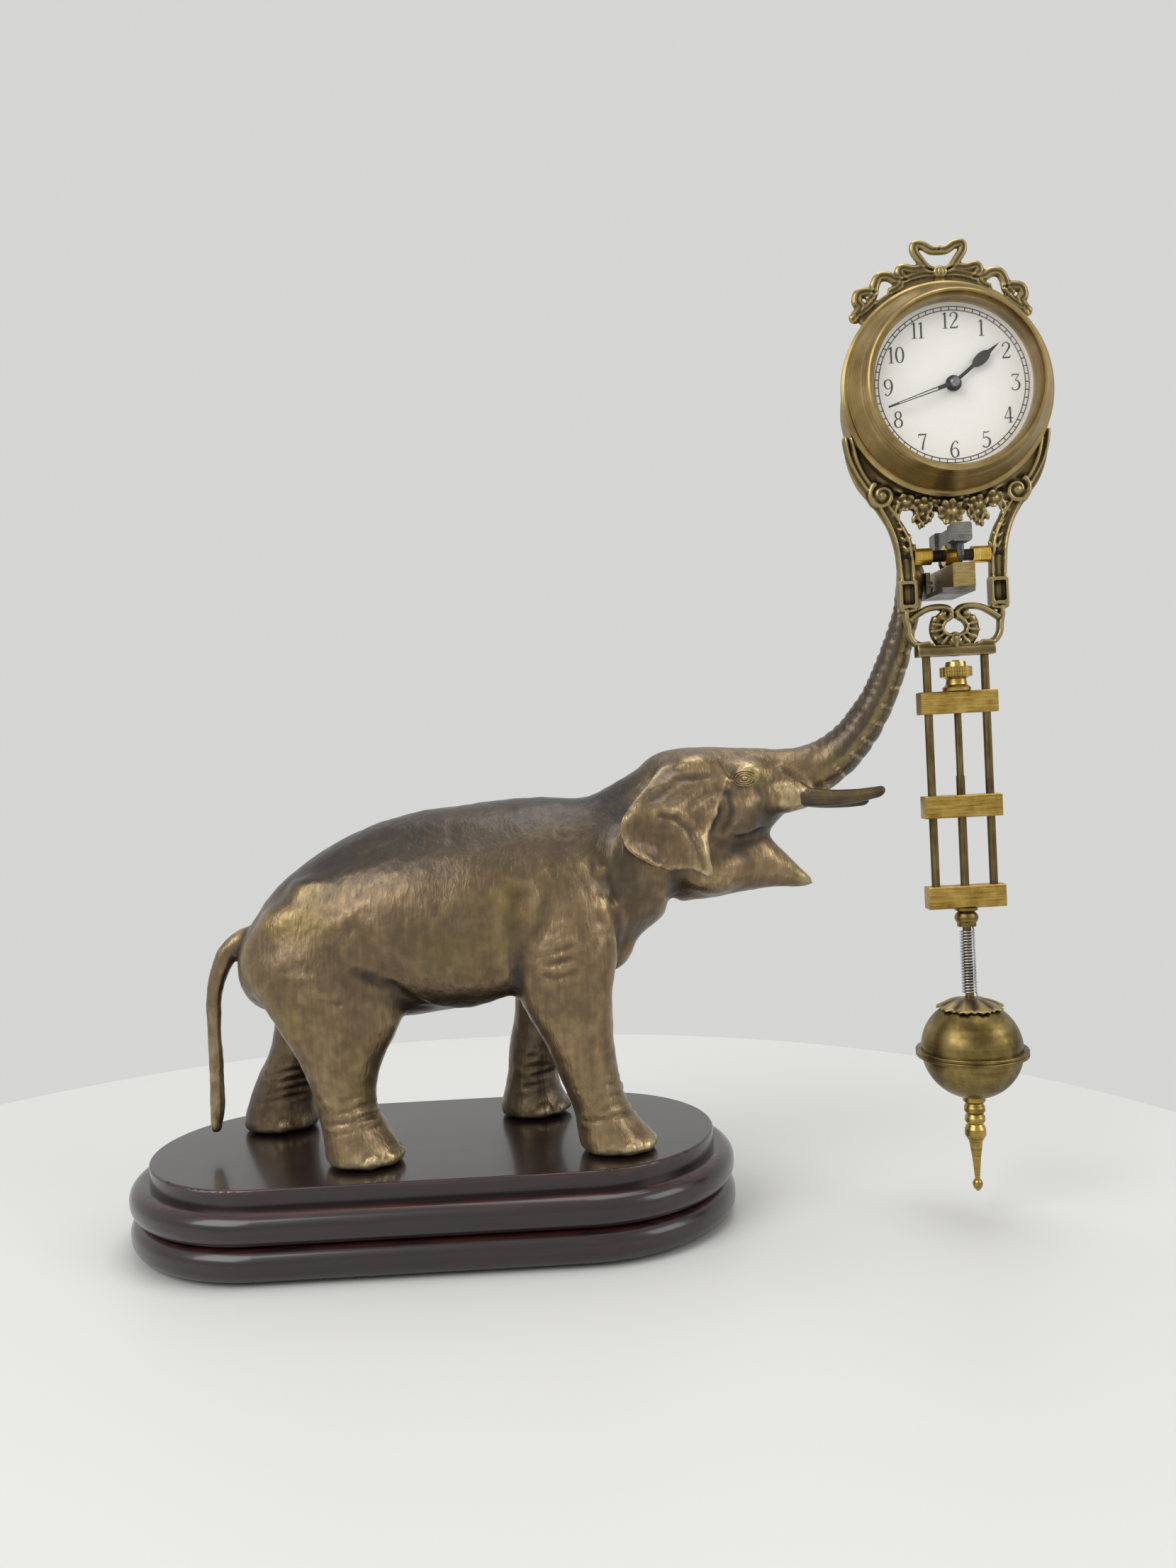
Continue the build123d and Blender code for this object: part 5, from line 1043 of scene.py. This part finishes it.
for side in (-1, 1):
    scrolls.append(rail(side, hanger, 1.2, 2.0, 0.2))
    scrolls.append(rail(side, over, 1.15, 1.9, 0.4))
    scrolls.append(lump(hung(side * 3.9, -14.6, 0.9), (1.2, 1.6, 1.2)))
    scrolls.append(rail(side, heart, 0.8, 1.9, 0.5))
    scrolls.append(rail(side, fan, 1.9, 1.7, 0.0))
    for rib in range(fan_ribs):
        turn = math.radians(20 - 26 * rib)
        reach = 7.6 + 0.9 * (rib == fan_ribs - 1)
        foot = (side * (3.9 * math.cos(turn) + 0.6), -19.6 + 3.4 * math.sin(turn), 0.55, 0.9, 1.2)
        tip = (side * (reach * math.cos(turn) + 0.6), -19.8 + 6.0 * math.sin(turn), 0.6, 0.8, 1.2)
        scrolls.append(strand([foot, tip], 10, 4))
    scrolls.append(flat_bar(side * 10.4, -25.4, 2.9, 1.0, 0.0, 2.4))
    scrolls.append(strand([(side * 9.0, -24.2, 0.5, 1.0, 1.6), (side * 13.0, -24.6, 0.5, 1.0, 1.6)], 10, 3))
scrolls += leaf([(0.0, -25.8), (0.0, -24.2), (0.0, -22.4)], 2.2, 1.5, 2)
scrolls.append(lump(hung(0.0, -23.8, 1.2), (1.5, 1.6, 2.0)))
scrolls.append(flat_bar(0.0, -27.6, 13.2, 1.35, 0.0, 2.8))
scrolls.append(flat_bar(0.0, -26.0, 12.4, 0.8, 0.0, 2.3))
lyre_relief = fused(mesh_object("lyre_relief", scrolls), 0.3 * mm)
# A blind hole in the plate's underside takes the centre rod's end when the ball is drawn up.
hole_radius = 1.6
bore = [(hung(0.0, rise), (hole_radius, 0, 0), (0, hole_radius, 0)) for rise in (-31.0, -29.0, -26.8)]
drill = mesh_object("drill", [limb(bore, 32, 1)])
drilling = lyre_relief.modifiers.new("rod hole", "BOOLEAN")
drilling.operation = "DIFFERENCE"
drilling.object = drill
baked(lyre_relief)
bpy.data.objects.remove(drill)
relief = Skin(lyre_relief)
relief.smooth(2)
relief.write()
rub(relief, 6.0, 12, 0.8, 0.52)
lyre_relief.data.materials.append(antique)
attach(lyre_relief, "clock")
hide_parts("lyre_casting")

# Trunk bracket and knife cups
# A steel angle screwed to the flat at the trunk's tip carries the brass cup block, whose two drilled cups
# take the pins of the hanging clock.


def worked_metal(name, tones, gloss, pitch, stretch=(1.0, 1.0, 1.0), spindle=None, bump=0.12, blotch=0.009,
                 metallic=1.0, tool_share=0.45):
    """A worked metal: tool lines drawn along one direction or run round a spindle, under patches of tarnish.

    spindle is a point on the axis in mm and the axis letter; tones run from the darkest to the lightest.
    """
    material, tree, shader, place = finish_named(name)
    if spindle:
        centre, axis = spindle
        offset = [-value * mm for value in centre]
        shift = put(tree, "ShaderNodeMapping", {"Vector": place, "Location": offset})
        across = [0.0 if letter == axis else 1.0 for letter in "XYZ"]
        flat = put(tree, "ShaderNodeVectorMath", {0: shift, 1: across}, operation="MULTIPLY")
        reach = put(tree, "ShaderNodeVectorMath", {0: flat}, operation="LENGTH")
        split = put(tree, "ShaderNodeSeparateXYZ", {0: shift})
        tool_path = put(tree, "ShaderNodeCombineXYZ", {0: reach.outputs["Value"], 1: split.outputs[axis]})
    else:
        tool_path = put(tree, "ShaderNodeMapping", {"Vector": place, "Scale": stretch})
    lines = put(tree, "ShaderNodeTexNoise", {"Vector": tool_path, "Scale": 1 / pitch, "Detail": 4.0})
    tarnish = put(tree, "ShaderNodeTexNoise", {"Vector": place, "Scale": 1 / blotch, "Detail": 5.0,
                                               "Roughness": 0.6})
    level = put(tree, "ShaderNodeMath", {0: tarnish, 1: 1 - tool_share}, operation="MULTIPLY")
    level = put(tree, "ShaderNodeMath", {0: lines, 1: tool_share, 2: level}, operation="MULTIPLY_ADD")
    stops = list(zip(np.linspace(0.36, 0.64, len(tones)), tones))
    tone = put(tree, "ShaderNodeValToRGB", {"Fac": level}, stops)
    dull = put(tree, "ShaderNodeMapRange", {"Value": level, "From Min": 0.35, "From Max": 0.65,
                                            "To Min": gloss + 0.1, "To Max": gloss - 0.05})
    ridge = put(tree, "ShaderNodeBump", {"Height": lines, "Strength": bump, "Distance": 0.0002})
    fill(shader, {"Base Color": tone, "Roughness": dull, "Normal": ridge, "Metallic": metallic})
    return material


file_lines = 0.0004
plated = worked_metal("nickel_plated_steel", ("#5d5b57", "#7c7974", "#98948d"), 0.4, file_lines,
                      (0.1, 1.0, 1.0))
cup_brass = worked_metal("milled_cup_brass", ("#7a6640", "#a08a58", "#bba771"), 0.36, file_lines,
                         (0.12, 1.0, 1.0))
wear(plated, "trunk_bracket")
wear(zinc, "bracket_screw")
wear(cup_brass, "cup_block")

# Pins and carrier
# Two hardened steel pins in plated steel blocks stand in the cups. The blocks turn on a blued cross shaft
# that two bright brass collars hold between the arms of the frame.
shaft_axis = ((pivot_x, pivot_y, pivot_z + 5.2), "X")
blued = worked_metal("blued_steel", ("#211a18", "#352c28", "#4f433c"), 0.3, 0.0005, spindle=shaft_axis)
hardened = worked_metal("hardened_pin_steel", ("#2a2a2c", "#45454a", "#6a6a70"), 0.28, 0.0004)
collar_brass = worked_metal("bright_turned_brass", ("#a98434", "#cfa948", "#ecd07a"), 0.22, 0.0005,
                            spindle=shaft_axis)
wear(plated, "pin_carrier")
wear(collar_brass, "carrier_bush", "shaft_collars")
wear(hardened, "front_pin", "rear_pin")
wear(blued, "cross_shaft")

# Movement
# A small spring-driven balance movement between two pressed brass plates, screwed to the rear of the dial.
dial_axis = ((pivot_x, pivot_y, pivot_z + dial_rise), "Y")
plate_brass = worked_metal("polished_plate_brass", ("#a3853c", "#c3a455", "#dcc27c"), 0.24, 0.0005,
                           spindle=dial_axis)
wheel_brass = worked_metal("cut_wheel_brass", ("#94742f", "#b8944a", "#d2b269"), 0.26, 0.0004,
                           spindle=dial_axis)
arbor_steel = worked_metal("polished_arbor_steel", ("#6a6c70", "#8d8f93", "#b1b3b6"), 0.22, 0.0004,
                           spindle=dial_axis)
wear(plate_brass, "front_plate", "rear_plate")
wear(wheel_brass, "plate_pillars", "minute_wheel", "hour_wheel", "mainspring_barrel", "balance_wheel")
wear(arbor_steel, "centre_arbor")

# Dial
# A thin disc silvered and matted white, printed with a minute track and twelve upright numerals.
silvered = speckled("silvered_dial_plate", 0.0004, 3.0, [(0.3, "#f3f1ea"), (0.7, "#fbf9f3")],
                    {"Roughness": 0.42}, (0.05, 0.0001))
wear(silvered, "dial")
# Printing ink: a thin matt film, black worn to dark grey.
ink = speckled("printed_dial_ink", 0.0007, 3.0, [(0.3, "#39393a"), (0.7, "#4c4c4c")], {"Roughness": 0.5})
dial_front, ink_lift = 8.8, 0.06


def node_tree_named(name, sizes):
    """An empty Geometry Nodes tree with a geometry output and one named input for each size."""
    tree = bpy.data.node_groups.new(name, "GeometryNodeTree")
    tree.interface.new_socket("Geometry", in_out="OUTPUT", socket_type="NodeSocketGeometry")
    for size, kind in sizes:
        tree.interface.new_socket(size, in_out="INPUT", socket_type=kind)
    return tree, tree.nodes.new("NodeGroupInput").outputs, tree.nodes.new("NodeGroupOutput")


def grown(name, tree, values):
    """A plain mesh object that a Geometry Nodes tree makes from the given values of its inputs."""
    made = bpy.data.objects.new(name, bpy.data.meshes.new(name))
    bpy.context.scene.collection.objects.link(made)
    growth = made.modifiers.new(name, "NODES")
    growth.node_group = tree
    for item in tree.interface.items_tree:
        if item.in_out == "INPUT" and item.name in values:
            growth[item.identifier] = values[item.name]
    baked(made)
    made.data.name = name
    return made


# Minute track: two thin circles with a stroke for every minute between them, printed on the disc's front.
tree, given, result = node_tree_named("minute_track", (
    ("Strokes", "NodeSocketInt"), ("Outer Radius", "NodeSocketFloat"), ("Inner Radius", "NodeSocketFloat"),
    ("Line", "NodeSocketFloat"), ("Film", "NodeSocketFloat"), ("Place", "NodeSocketVector"),
    ("Ink", "NodeSocketMaterial")))
profile = put(tree, "GeometryNodeCurvePrimitiveQuadrilateral",
              {"Width": given["Line"], "Height": given["Film"]})
join = put(tree, "GeometryNodeJoinGeometry")
for radius in ("Outer Radius", "Inner Radius"):
    circle = put(tree, "GeometryNodeCurvePrimitiveCircle", {"Resolution": 180, "Radius": given[radius]})
    fill(join, {0: put(tree, "GeometryNodeCurveToMesh", {"Curve": circle, "Profile Curve": profile})})
spread = put(tree, "ShaderNodeMath", {0: given["Outer Radius"], 1: given["Inner Radius"]},
             operation="SUBTRACT")
half_spread = put(tree, "ShaderNodeMath", {0: spread, 1: 0.5}, operation="MULTIPLY")
middle = put(tree, "ShaderNodeMath", {0: given["Inner Radius"], 1: half_spread}, operation="ADD")
minutes = put(tree, "GeometryNodeMeshCircle", {"Vertices": given["Strokes"], "Radius": middle})
stroke_size = put(tree, "ShaderNodeCombineXYZ", {0: spread, 1: given["Line"], 2: given["Film"]})
stroke = put(tree, "GeometryNodeMeshCube", {"Size": stroke_size})
outward = put(tree, "FunctionNodeAlignRotationToVector", {"Vector": put(tree, "GeometryNodeInputPosition")},
              axis="X")
fill(join, {0: put(tree, "GeometryNodeInstanceOnPoints", {"Points": minutes, "Instance": stroke,
                                                          "Rotation": outward})})
whole = put(tree, "GeometryNodeRealizeInstances", {0: join})
upright = put(tree, "GeometryNodeTransform", {"Geometry": whole, "Translation": given["Place"],
                                              "Rotation": (math.pi / 2, 0.0, 0.0)})
fill(result, {0: put(tree, "GeometryNodeSetMaterial", {"Geometry": upright, "Material": given["Ink"]})})
track = grown("minute_track", tree, {
    "Strokes": 60, "Outer Radius": 25.8 * mm, "Inner Radius": 24.6 * mm, "Line": 0.32 * mm,
    "Film": 2 * ink_lift * mm, "Place": list(hung(0, dial_rise, dial_front) * mm), "Ink": ink})
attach(track, "clock")


# Numerals: strokes of a broad pen, each a run of (across, up, half width) in a box one high.
def pen_loop(half_across, middle, half_up, swell):
    """A closed oval stroke, broad at its sides and thin at its top and foot."""
    return [(0.28 + half_across * math.sin(t), middle + half_up * math.cos(t),
             0.02 + swell * abs(math.sin(t))) for t in np.linspace(0, 2 * math.pi, 13)]


six = [(0.48, 0.84, 0.05), (0.42, 0.95, 0.03), (0.31, 0.97, 0.024), (0.13, 0.74, 0.05), (0.06, 0.38, 0.06),
       (0.14, 0.08, 0.045), (0.3, 0.01, 0.024), (0.47, 0.12, 0.05), (0.5, 0.3, 0.056), (0.42, 0.51, 0.036),
       (0.28, 0.57, 0.024), (0.11, 0.46, 0.022)]
pen_strokes = {
    "0": [pen_loop(0.22, 0.49, 0.47, 0.04)],
    "1": [[(0.26, 0.03, 0.055), (0.26, 0.97, 0.055)],
          [(0.1, 0.85, 0.02), (0.2, 0.9, 0.03), (0.27, 0.97, 0.02)],
          [(0.1, 0.02, 0.02), (0.42, 0.02, 0.02)]],
    "2": [[(0.12, 0.72, 0.055), (0.09, 0.84, 0.03), (0.28, 0.97, 0.026), (0.48, 0.84, 0.055),
           (0.46, 0.62, 0.055), (0.28, 0.36, 0.036), (0.07, 0.06, 0.024)],
          [(0.06, 0.05, 0.046), (0.5, 0.05, 0.046)], [(0.5, 0.05, 0.03), (0.53, 0.2, 0.016)]],
    "3": [[(0.07, 0.95, 0.035), (0.49, 0.95, 0.03)], [(0.07, 0.97, 0.02), (0.06, 0.8, 0.018)],
          [(0.48, 0.95, 0.024), (0.25, 0.6, 0.024)],
          [(0.25, 0.59, 0.022), (0.42, 0.54, 0.04), (0.51, 0.32, 0.06), (0.42, 0.08, 0.045),
           (0.24, 0.01, 0.026), (0.08, 0.08, 0.03), (0.06, 0.18, 0.05)]],
    "4": [[(0.37, 0.97, 0.022), (0.04, 0.3, 0.022)], [(0.03, 0.29, 0.03), (0.57, 0.29, 0.03)],
          [(0.39, 0.97, 0.052), (0.39, 0.03, 0.052)], [(0.25, 0.02, 0.02), (0.53, 0.02, 0.02)]],
    "5": [[(0.14, 0.93, 0.04), (0.3, 0.91, 0.034), (0.49, 0.97, 0.02)],
          [(0.14, 0.95, 0.02), (0.11, 0.56, 0.02)],
          [(0.11, 0.55, 0.02), (0.3, 0.62, 0.034), (0.49, 0.46, 0.055), (0.49, 0.22, 0.06),
           (0.34, 0.02, 0.032), (0.15, 0.03, 0.034), (0.07, 0.13, 0.05)]],
    "6": [six],
    "7": [[(0.05, 0.94, 0.045), (0.52, 0.94, 0.04)], [(0.05, 0.97, 0.02), (0.04, 0.79, 0.018)],
          [(0.51, 0.94, 0.024), (0.34, 0.5, 0.045), (0.25, 0.02, 0.058)]],
    "8": [pen_loop(0.17, 0.75, 0.22, 0.026), pen_loop(0.22, 0.27, 0.26, 0.034)],
    "9": [[(0.56 - across, 0.98 - up, half) for across, up, half in six]],
}


def pen_stroke(path, corner, height):
    """A printed stroke as a low solid: its lower left corner on the dial in mm, and the numeral's height."""
    rows = np.array(smooth_path(path, 5 if len(path) > 2 else 2))
    ahead = np.gradient(rows[:, :2], axis=0)
    ahead /= np.linalg.norm(ahead, axis=1)[:, None]
    aside = np.stack([-ahead[:, 1], ahead[:, 0]], 1) * rows[:, 2:3]
    points = []
    for place, edge in zip(rows[:, :2], aside):
        for out, way in ((0.02, -1), (0.02, 1), (ink_lift, 1), (ink_lift, -1)):
            spot = np.array(corner) + (place + way * edge) * height
            points.append(hung(spot[0], spot[1], dial_front + out))
    last = 4 * (len(rows) - 1)
    faces = [(0, 1, 2, 3), (last + 3, last + 2, last + 1, last)]
    for step in range(len(rows) - 1):
        for edge in range(4):
            beside = (edge + 1) % 4
            faces.append((4 * step + edge, 4 * step + 4 + edge, 4 * step + 4 + beside, 4 * step + beside))
    return np.array(points), faces


numeral_height = 5.5
numeral_circle = 21.3
printing = []
for hour in range(1, 13):
    turn = math.radians(90 - 30 * hour)
    figures = str(hour)
    pitch = 0.42 if figures == "11" else 0.5
    start = -0.28 - 0.5 * pitch * (len(figures) - 1)
    for place, figure in enumerate(figures):
        corner = (numeral_circle * math.cos(turn) + (start + pitch * place) * numeral_height,
                  dial_rise + numeral_circle * math.sin(turn) - 0.5 * numeral_height)
        printing += [pen_stroke(path, corner, numeral_height) for path in pen_strokes[figure]]
numerals = mesh_object("dial_numerals", printing)
numerals.data.polygons.foreach_set("use_smooth", np.zeros(len(numerals.data.polygons), bool))
numerals.data.materials.append(ink)
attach(numerals, "clock")

# Hands
# Spade hands stamped from sheet steel and blackened, pushed on their pipes under a small turned nut.
blackened = worked_metal("blackened_hand_steel", ("#2e2d2c", "#403f3e", "#555452"), 0.38, 0.0006,
                         metallic=0.6)
wear(blackened, "hour_hand", "minute_hand")
nut_steel = worked_metal("grey_hand_nut_steel", ("#77767a", "#939296", "#b2b1b3"), 0.26, 0.0003,
                         spindle=dial_axis)
wear(nut_steel, "hand_nut")

# Drum, cover and bezel
# The case is spun from sheet brass: a drum, a press-on rear cover and a broad rolled bezel, brushed round
# on the lathe and left to tone. The key and the setting knob stand out of the cover.
spun = worked_metal("spun_toned_brass", ("#725e35", "#907a4c", "#a89160", "#c0ab7c"), 0.3, 0.0006,
                    spindle=dial_axis, bump=0.16, blotch=0.016)
wear(spun, "drum_case", "back_cover", "bezel")
key_brass = worked_metal("cast_key_brass", ("#8a6d31", "#ae8f4b", "#c9ac68"), 0.3, 0.0006,
                         spindle=dial_axis)
wear(key_brass, "set_knob", "winding_key")

# Glass
# A domed watch glass of clear soda-lime, ground at its edge and snapped into the bezel. It is so thin that
# the bending at its two faces cancels, so the inside hardly bends light, and the gloss is a coat over it.
clear, tree, shader, place = finish_named("clear_watch_glass")
fill(shader, {"Base Color": linear("#ffffff"), "Roughness": 0.02, "IOR": 1.03, "Transmission Weight": 1.0,
              "Coat Weight": 1.0, "Coat Roughness": 0.02, "Coat IOR": 1.52, "Alpha": 0.3})
wear(clear, "glass")

# Rods and crossbars
# Three drawn brass rods, toned brown, run through three sawn brass bars: the outer pair is pinned, and the
# thin upper end of the middle one carries the rating nut.
rod_axis = ((pivot_x, pivot_y, pivot_z), "Z")
drawn = worked_metal("drawn_toned_brass", ("#4d402a", "#6b5b3c", "#877650"), 0.34, 0.0005, (1.0, 1.0, 0.06),
                     bump=0.08)
wear(drawn, "outer_rods", "centre_rod")
sawn = worked_metal("brushed_bar_brass", ("#7d6330", "#a0823f", "#b8994f", "#c9ad66"), 0.36, 0.00045,
                    (0.05, 1.0, 1.0), bump=0.2, blotch=0.006)
wear(sawn, "top_bar", "middle_bar", "bottom_bar")
turned = worked_metal("turned_yellow_brass", ("#715b2d", "#937a3f", "#ae9453", "#c5ad6f"), 0.3, 0.0006,
                      spindle=rod_axis)
wear(turned, "rating_nut", "finial")
toned = worked_metal("turned_toned_brass", ("#5a4a29", "#7d693c", "#9c8652"), 0.3, 0.0005, spindle=rod_axis)
wear(toned, "neck_bush")

# Spring
# One length of bright spring wire wound close round the rod, sprung between the neck and the leaf cap.
wire = worked_metal("bright_spring_wire", ("#8a8a8c", "#b0b0b2", "#d2d2d3"), 0.18, 0.0004)
wear(wire, "spring")
wound_data = nodes["spring"].data.copy()
wound_data.transform(nodes["spring"].matrix_world)
wound = bpy.data.objects.new("spring_wire", wound_data)
bpy.context.scene.collection.objects.link(wound)
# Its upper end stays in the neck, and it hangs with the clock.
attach(wound, "clock")
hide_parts("spring")
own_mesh(wound)

# Ball
# Two hemispheres pressed from sheet brass, their flanges rolled together into a seam, toned olive and waxed.
waxed = worked_metal("waxed_toned_brass", ("#4b3f24", "#6a5a34", "#857346", "#9a8757"), 0.33, 0.0011,
                     spindle=rod_axis, bump=0.04, blotch=0.014, tool_share=0.12)
wear(waxed, "ball_upper", "ball_lower")

# Leaf cap
# A ring of nine folded leaves pressed from thin brass and darkened. It sits on the ball under the spring, its
# tips lifting a little off the ball.
ball_rise, ball_radius = -163.9, 17.0
leaves, cap_wall, cap_gap = 9, 0.45, 0.42
cap_bore, leaf_length = 1.75, 9.05
half_leaf = math.pi / leaves
across_steps, down_steps = 12, 16
cap_points, cap_faces = [], []
for wall in (0, 1):
    for down in range(down_steps + 1):
        share = down / down_steps
        for across in range(across_steps + 1):
            turn = half_leaf * (2 * across / across_steps - 1)
            crest = math.cos(turn / half_leaf * math.pi)
            scallop = 0.55 * crest - 0.25 * math.cos(3 * turn / half_leaf * math.pi) * share
            reach = cap_bore + (leaf_length + scallop) * share
            fold = 0.62 * crest * max(share - 0.22, 0) ** 0.8 + 0.7 * share ** 3
            height = math.sqrt(ball_radius ** 2 - min(reach, 16.0) ** 2) + cap_gap + max(fold, -0.36)
            cap_points.append((reach * math.cos(turn), reach * math.sin(turn), height + cap_wall * wall))
row = across_steps + 1
layer = row * (down_steps + 1)
for down in range(down_steps):
    for across in range(across_steps):
        a = down * row + across
        cap_faces.append((a, a + 1, a + row + 1, a + row))
        cap_faces.append((layer + a, layer + a + row, layer + a + row + 1, layer + a + 1))
for across in range(across_steps):
    for a in (across, down_steps * row + across):
        cap_faces.append((a, a + 1, layer + a + 1, layer + a))
one_leaf = mesh_object("one_leaf", [(np.array(cap_points), cap_faces)])

ring_tree, given, result = node_tree_named("leaf_cap_ring", (
    ("Leaf", "NodeSocketObject"), ("Leaves", "NodeSocketInt"), ("Weld", "NodeSocketFloat"),
    ("Place", "NodeSocketVector"), ("Finish", "NodeSocketMaterial")))
pattern = put(ring_tree, "GeometryNodeObjectInfo", {"Object": given["Leaf"]})
spots = put(ring_tree, "GeometryNodePoints", {"Count": given["Leaves"]})
step = put(ring_tree, "ShaderNodeMath", {0: 2 * math.pi, 1: given["Leaves"]}, operation="DIVIDE")
angle = put(ring_tree, "ShaderNodeMath", {0: put(ring_tree, "GeometryNodeInputIndex"), 1: step},
            operation="MULTIPLY")
ring = put(ring_tree, "GeometryNodeInstanceOnPoints", {
    "Points": spots, "Instance": pattern.outputs["Geometry"],
    "Rotation": put(ring_tree, "ShaderNodeCombineXYZ", {2: angle})})
whole = put(ring_tree, "GeometryNodeRealizeInstances", {0: ring})
welded = put(ring_tree, "GeometryNodeMergeByDistance", {"Geometry": whole, "Distance": given["Weld"]})
seated = put(ring_tree, "GeometryNodeTransform", {"Geometry": welded, "Translation": given["Place"]})
fill(result, {0: put(ring_tree, "GeometryNodeSetMaterial", {"Geometry": seated,
                                                            "Material": given["Finish"]})})

# Darkened thin brass: brown in the folds, rubbed to yellow on their backs.
mottle_size = 0.004
darkened, tree, shader, place = finish_named("darkened_leaf_brass")
rubbing = put(tree, "ShaderNodeAttribute", attribute_name="rubbed").outputs["Fac"]
mottle = put(tree, "ShaderNodeTexNoise", {"Vector": place, "Scale": 1 / mottle_size, "Detail": 4.0})
level = put(tree, "ShaderNodeMath", {0: mottle, 1: 0.4, 2: rubbing}, operation="MULTIPLY_ADD")
tone = put(tree, "ShaderNodeValToRGB", {"Fac": level}, [
    (0.25, "#241d16"), (0.5, "#4a3f2f"), (0.75, "#75664a"), (0.95, "#a08d5e")])
fill(shader, {"Base Color": tone, "Metallic": 0.9, "Roughness": 0.36})
leaf_ring = grown("leaf_cap_leaves", ring_tree, {
    "Leaf": one_leaf, "Leaves": leaves, "Weld": 0.02 * mm, "Place": list(hung(0, ball_rise) * mm),
    "Finish": darkened})
bpy.data.objects.remove(one_leaf)
rub(Skin(leaf_ring), 5.0, 16, 1.1, 0.42)
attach(leaf_ring, "bob")
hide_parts("leaf_cap")

# Floor, light and camera
# A plain pale round tabletop, soft light from a wide window on the left, from overhead and from the right,
# and a camera at the photograph's place. None of it belongs to the object.
table_centre, table_radius, table_drop, table_sides = (-0.01, -0.06), 0.345, 0.03, 160
rim = [(table_centre[0] + table_radius * math.cos(turn), table_centre[1] + table_radius * math.sin(turn))
       for turn in np.linspace(0, 2 * math.pi, table_sides, endpoint=False)]
corners = [(x, y, 0.0) for x, y in rim] + [(x, y, -table_drop) for x, y in rim]
faces = [tuple(range(table_sides))]
for side in range(table_sides):
    beside = (side + 1) % table_sides
    faces.append((table_sides + side, table_sides + beside, beside, side))
floor_data = bpy.data.meshes.new("floor")
floor_data.from_pydata(corners, [], faces)
floor = bpy.data.objects.new("floor", floor_data)
bpy.context.scene.collection.objects.link(floor)
pale, tree, shader, place = finish_named("pale_tabletop")
fill(shader, {"Base Color": linear("#dcdcd9"), "Roughness": 0.5})
floor_data.materials.append(pale)

# The wall behind is the world, brighter where it is seen, also in metal and through glass, than as a light.
wall_light, wall_seen = 0.58, 0.74
world = bpy.data.worlds.new("studio")
bpy.context.scene.world = world
world.use_nodes = True
tree = world.node_tree
ray = put(tree, "ShaderNodeLightPath").outputs
seen = ray["Is Camera Ray"]
for kind in ("Is Transmission Ray", "Is Glossy Ray"):
    seen = put(tree, "ShaderNodeMath", {0: seen, 1: ray[kind]}, operation="MAXIMUM")
strength = put(tree, "ShaderNodeMapRange", {"Value": seen, "To Min": wall_light, "To Max": wall_seen})
fill(tree.nodes["Background"], {"Strength": strength, "Color": linear("#f4f4f2")})


def lamp(name, place, aim, power, width, height):
    """A soft rectangular lamp at a place, turned to what it lights."""
    light = bpy.data.lights.new(name, "AREA")
    light.shape = "RECTANGLE"
    light.energy = power
    light.size = width
    light.size_y = height
    made = bpy.data.objects.new(name, light)
    bpy.context.scene.collection.objects.link(made)
    made.location = place
    made.rotation_euler = (Vector(aim) - Vector(place)).to_track_quat("-Z", "Y").to_euler()


lamp("window", (-0.9, -0.9, 1.1), (0.06, 0.0, 0.13), 12.5, 1.0, 1.0)
lamp("ceiling", (0.25, 0.1, 1.5), (0.05, 0.0, 0.1), 8.0, 1.2, 0.8)
lamp("fill", (1.4, -0.7, 0.8), (0.1, 0.0, 0.15), 6.0, 0.8, 0.8)

image_height = 2212
focal_pixels = 1711.0
camera_place = Vector((0.05494, -0.43895, 0.16512))
yaw, pitch, roll = 0.016, -0.023, -0.05
ahead = Vector((math.sin(yaw) * math.cos(pitch), math.cos(yaw) * math.cos(pitch), math.sin(pitch)))
right = Vector((math.cos(yaw), -math.sin(yaw), 0.0))
up = right.cross(ahead)
right_rolled = math.cos(roll) * right + math.sin(roll) * up
up_rolled = -math.sin(roll) * right + math.cos(roll) * up
lens = bpy.data.cameras.new("photograph")
lens.sensor_fit = "VERTICAL"
lens.sensor_height = 36.0
lens.lens = focal_pixels / image_height * lens.sensor_height
lens.clip_start = 0.01
camera = bpy.data.objects.new("photograph", lens)
bpy.context.scene.collection.objects.link(camera)
turn = Matrix((right_rolled, up_rolled, -ahead)).transposed()
camera.matrix_world = Matrix.Translation(camera_place) @ turn.to_4x4()
bpy.context.scene.camera = camera
bpy.context.scene.view_settings.view_transform = "Standard"
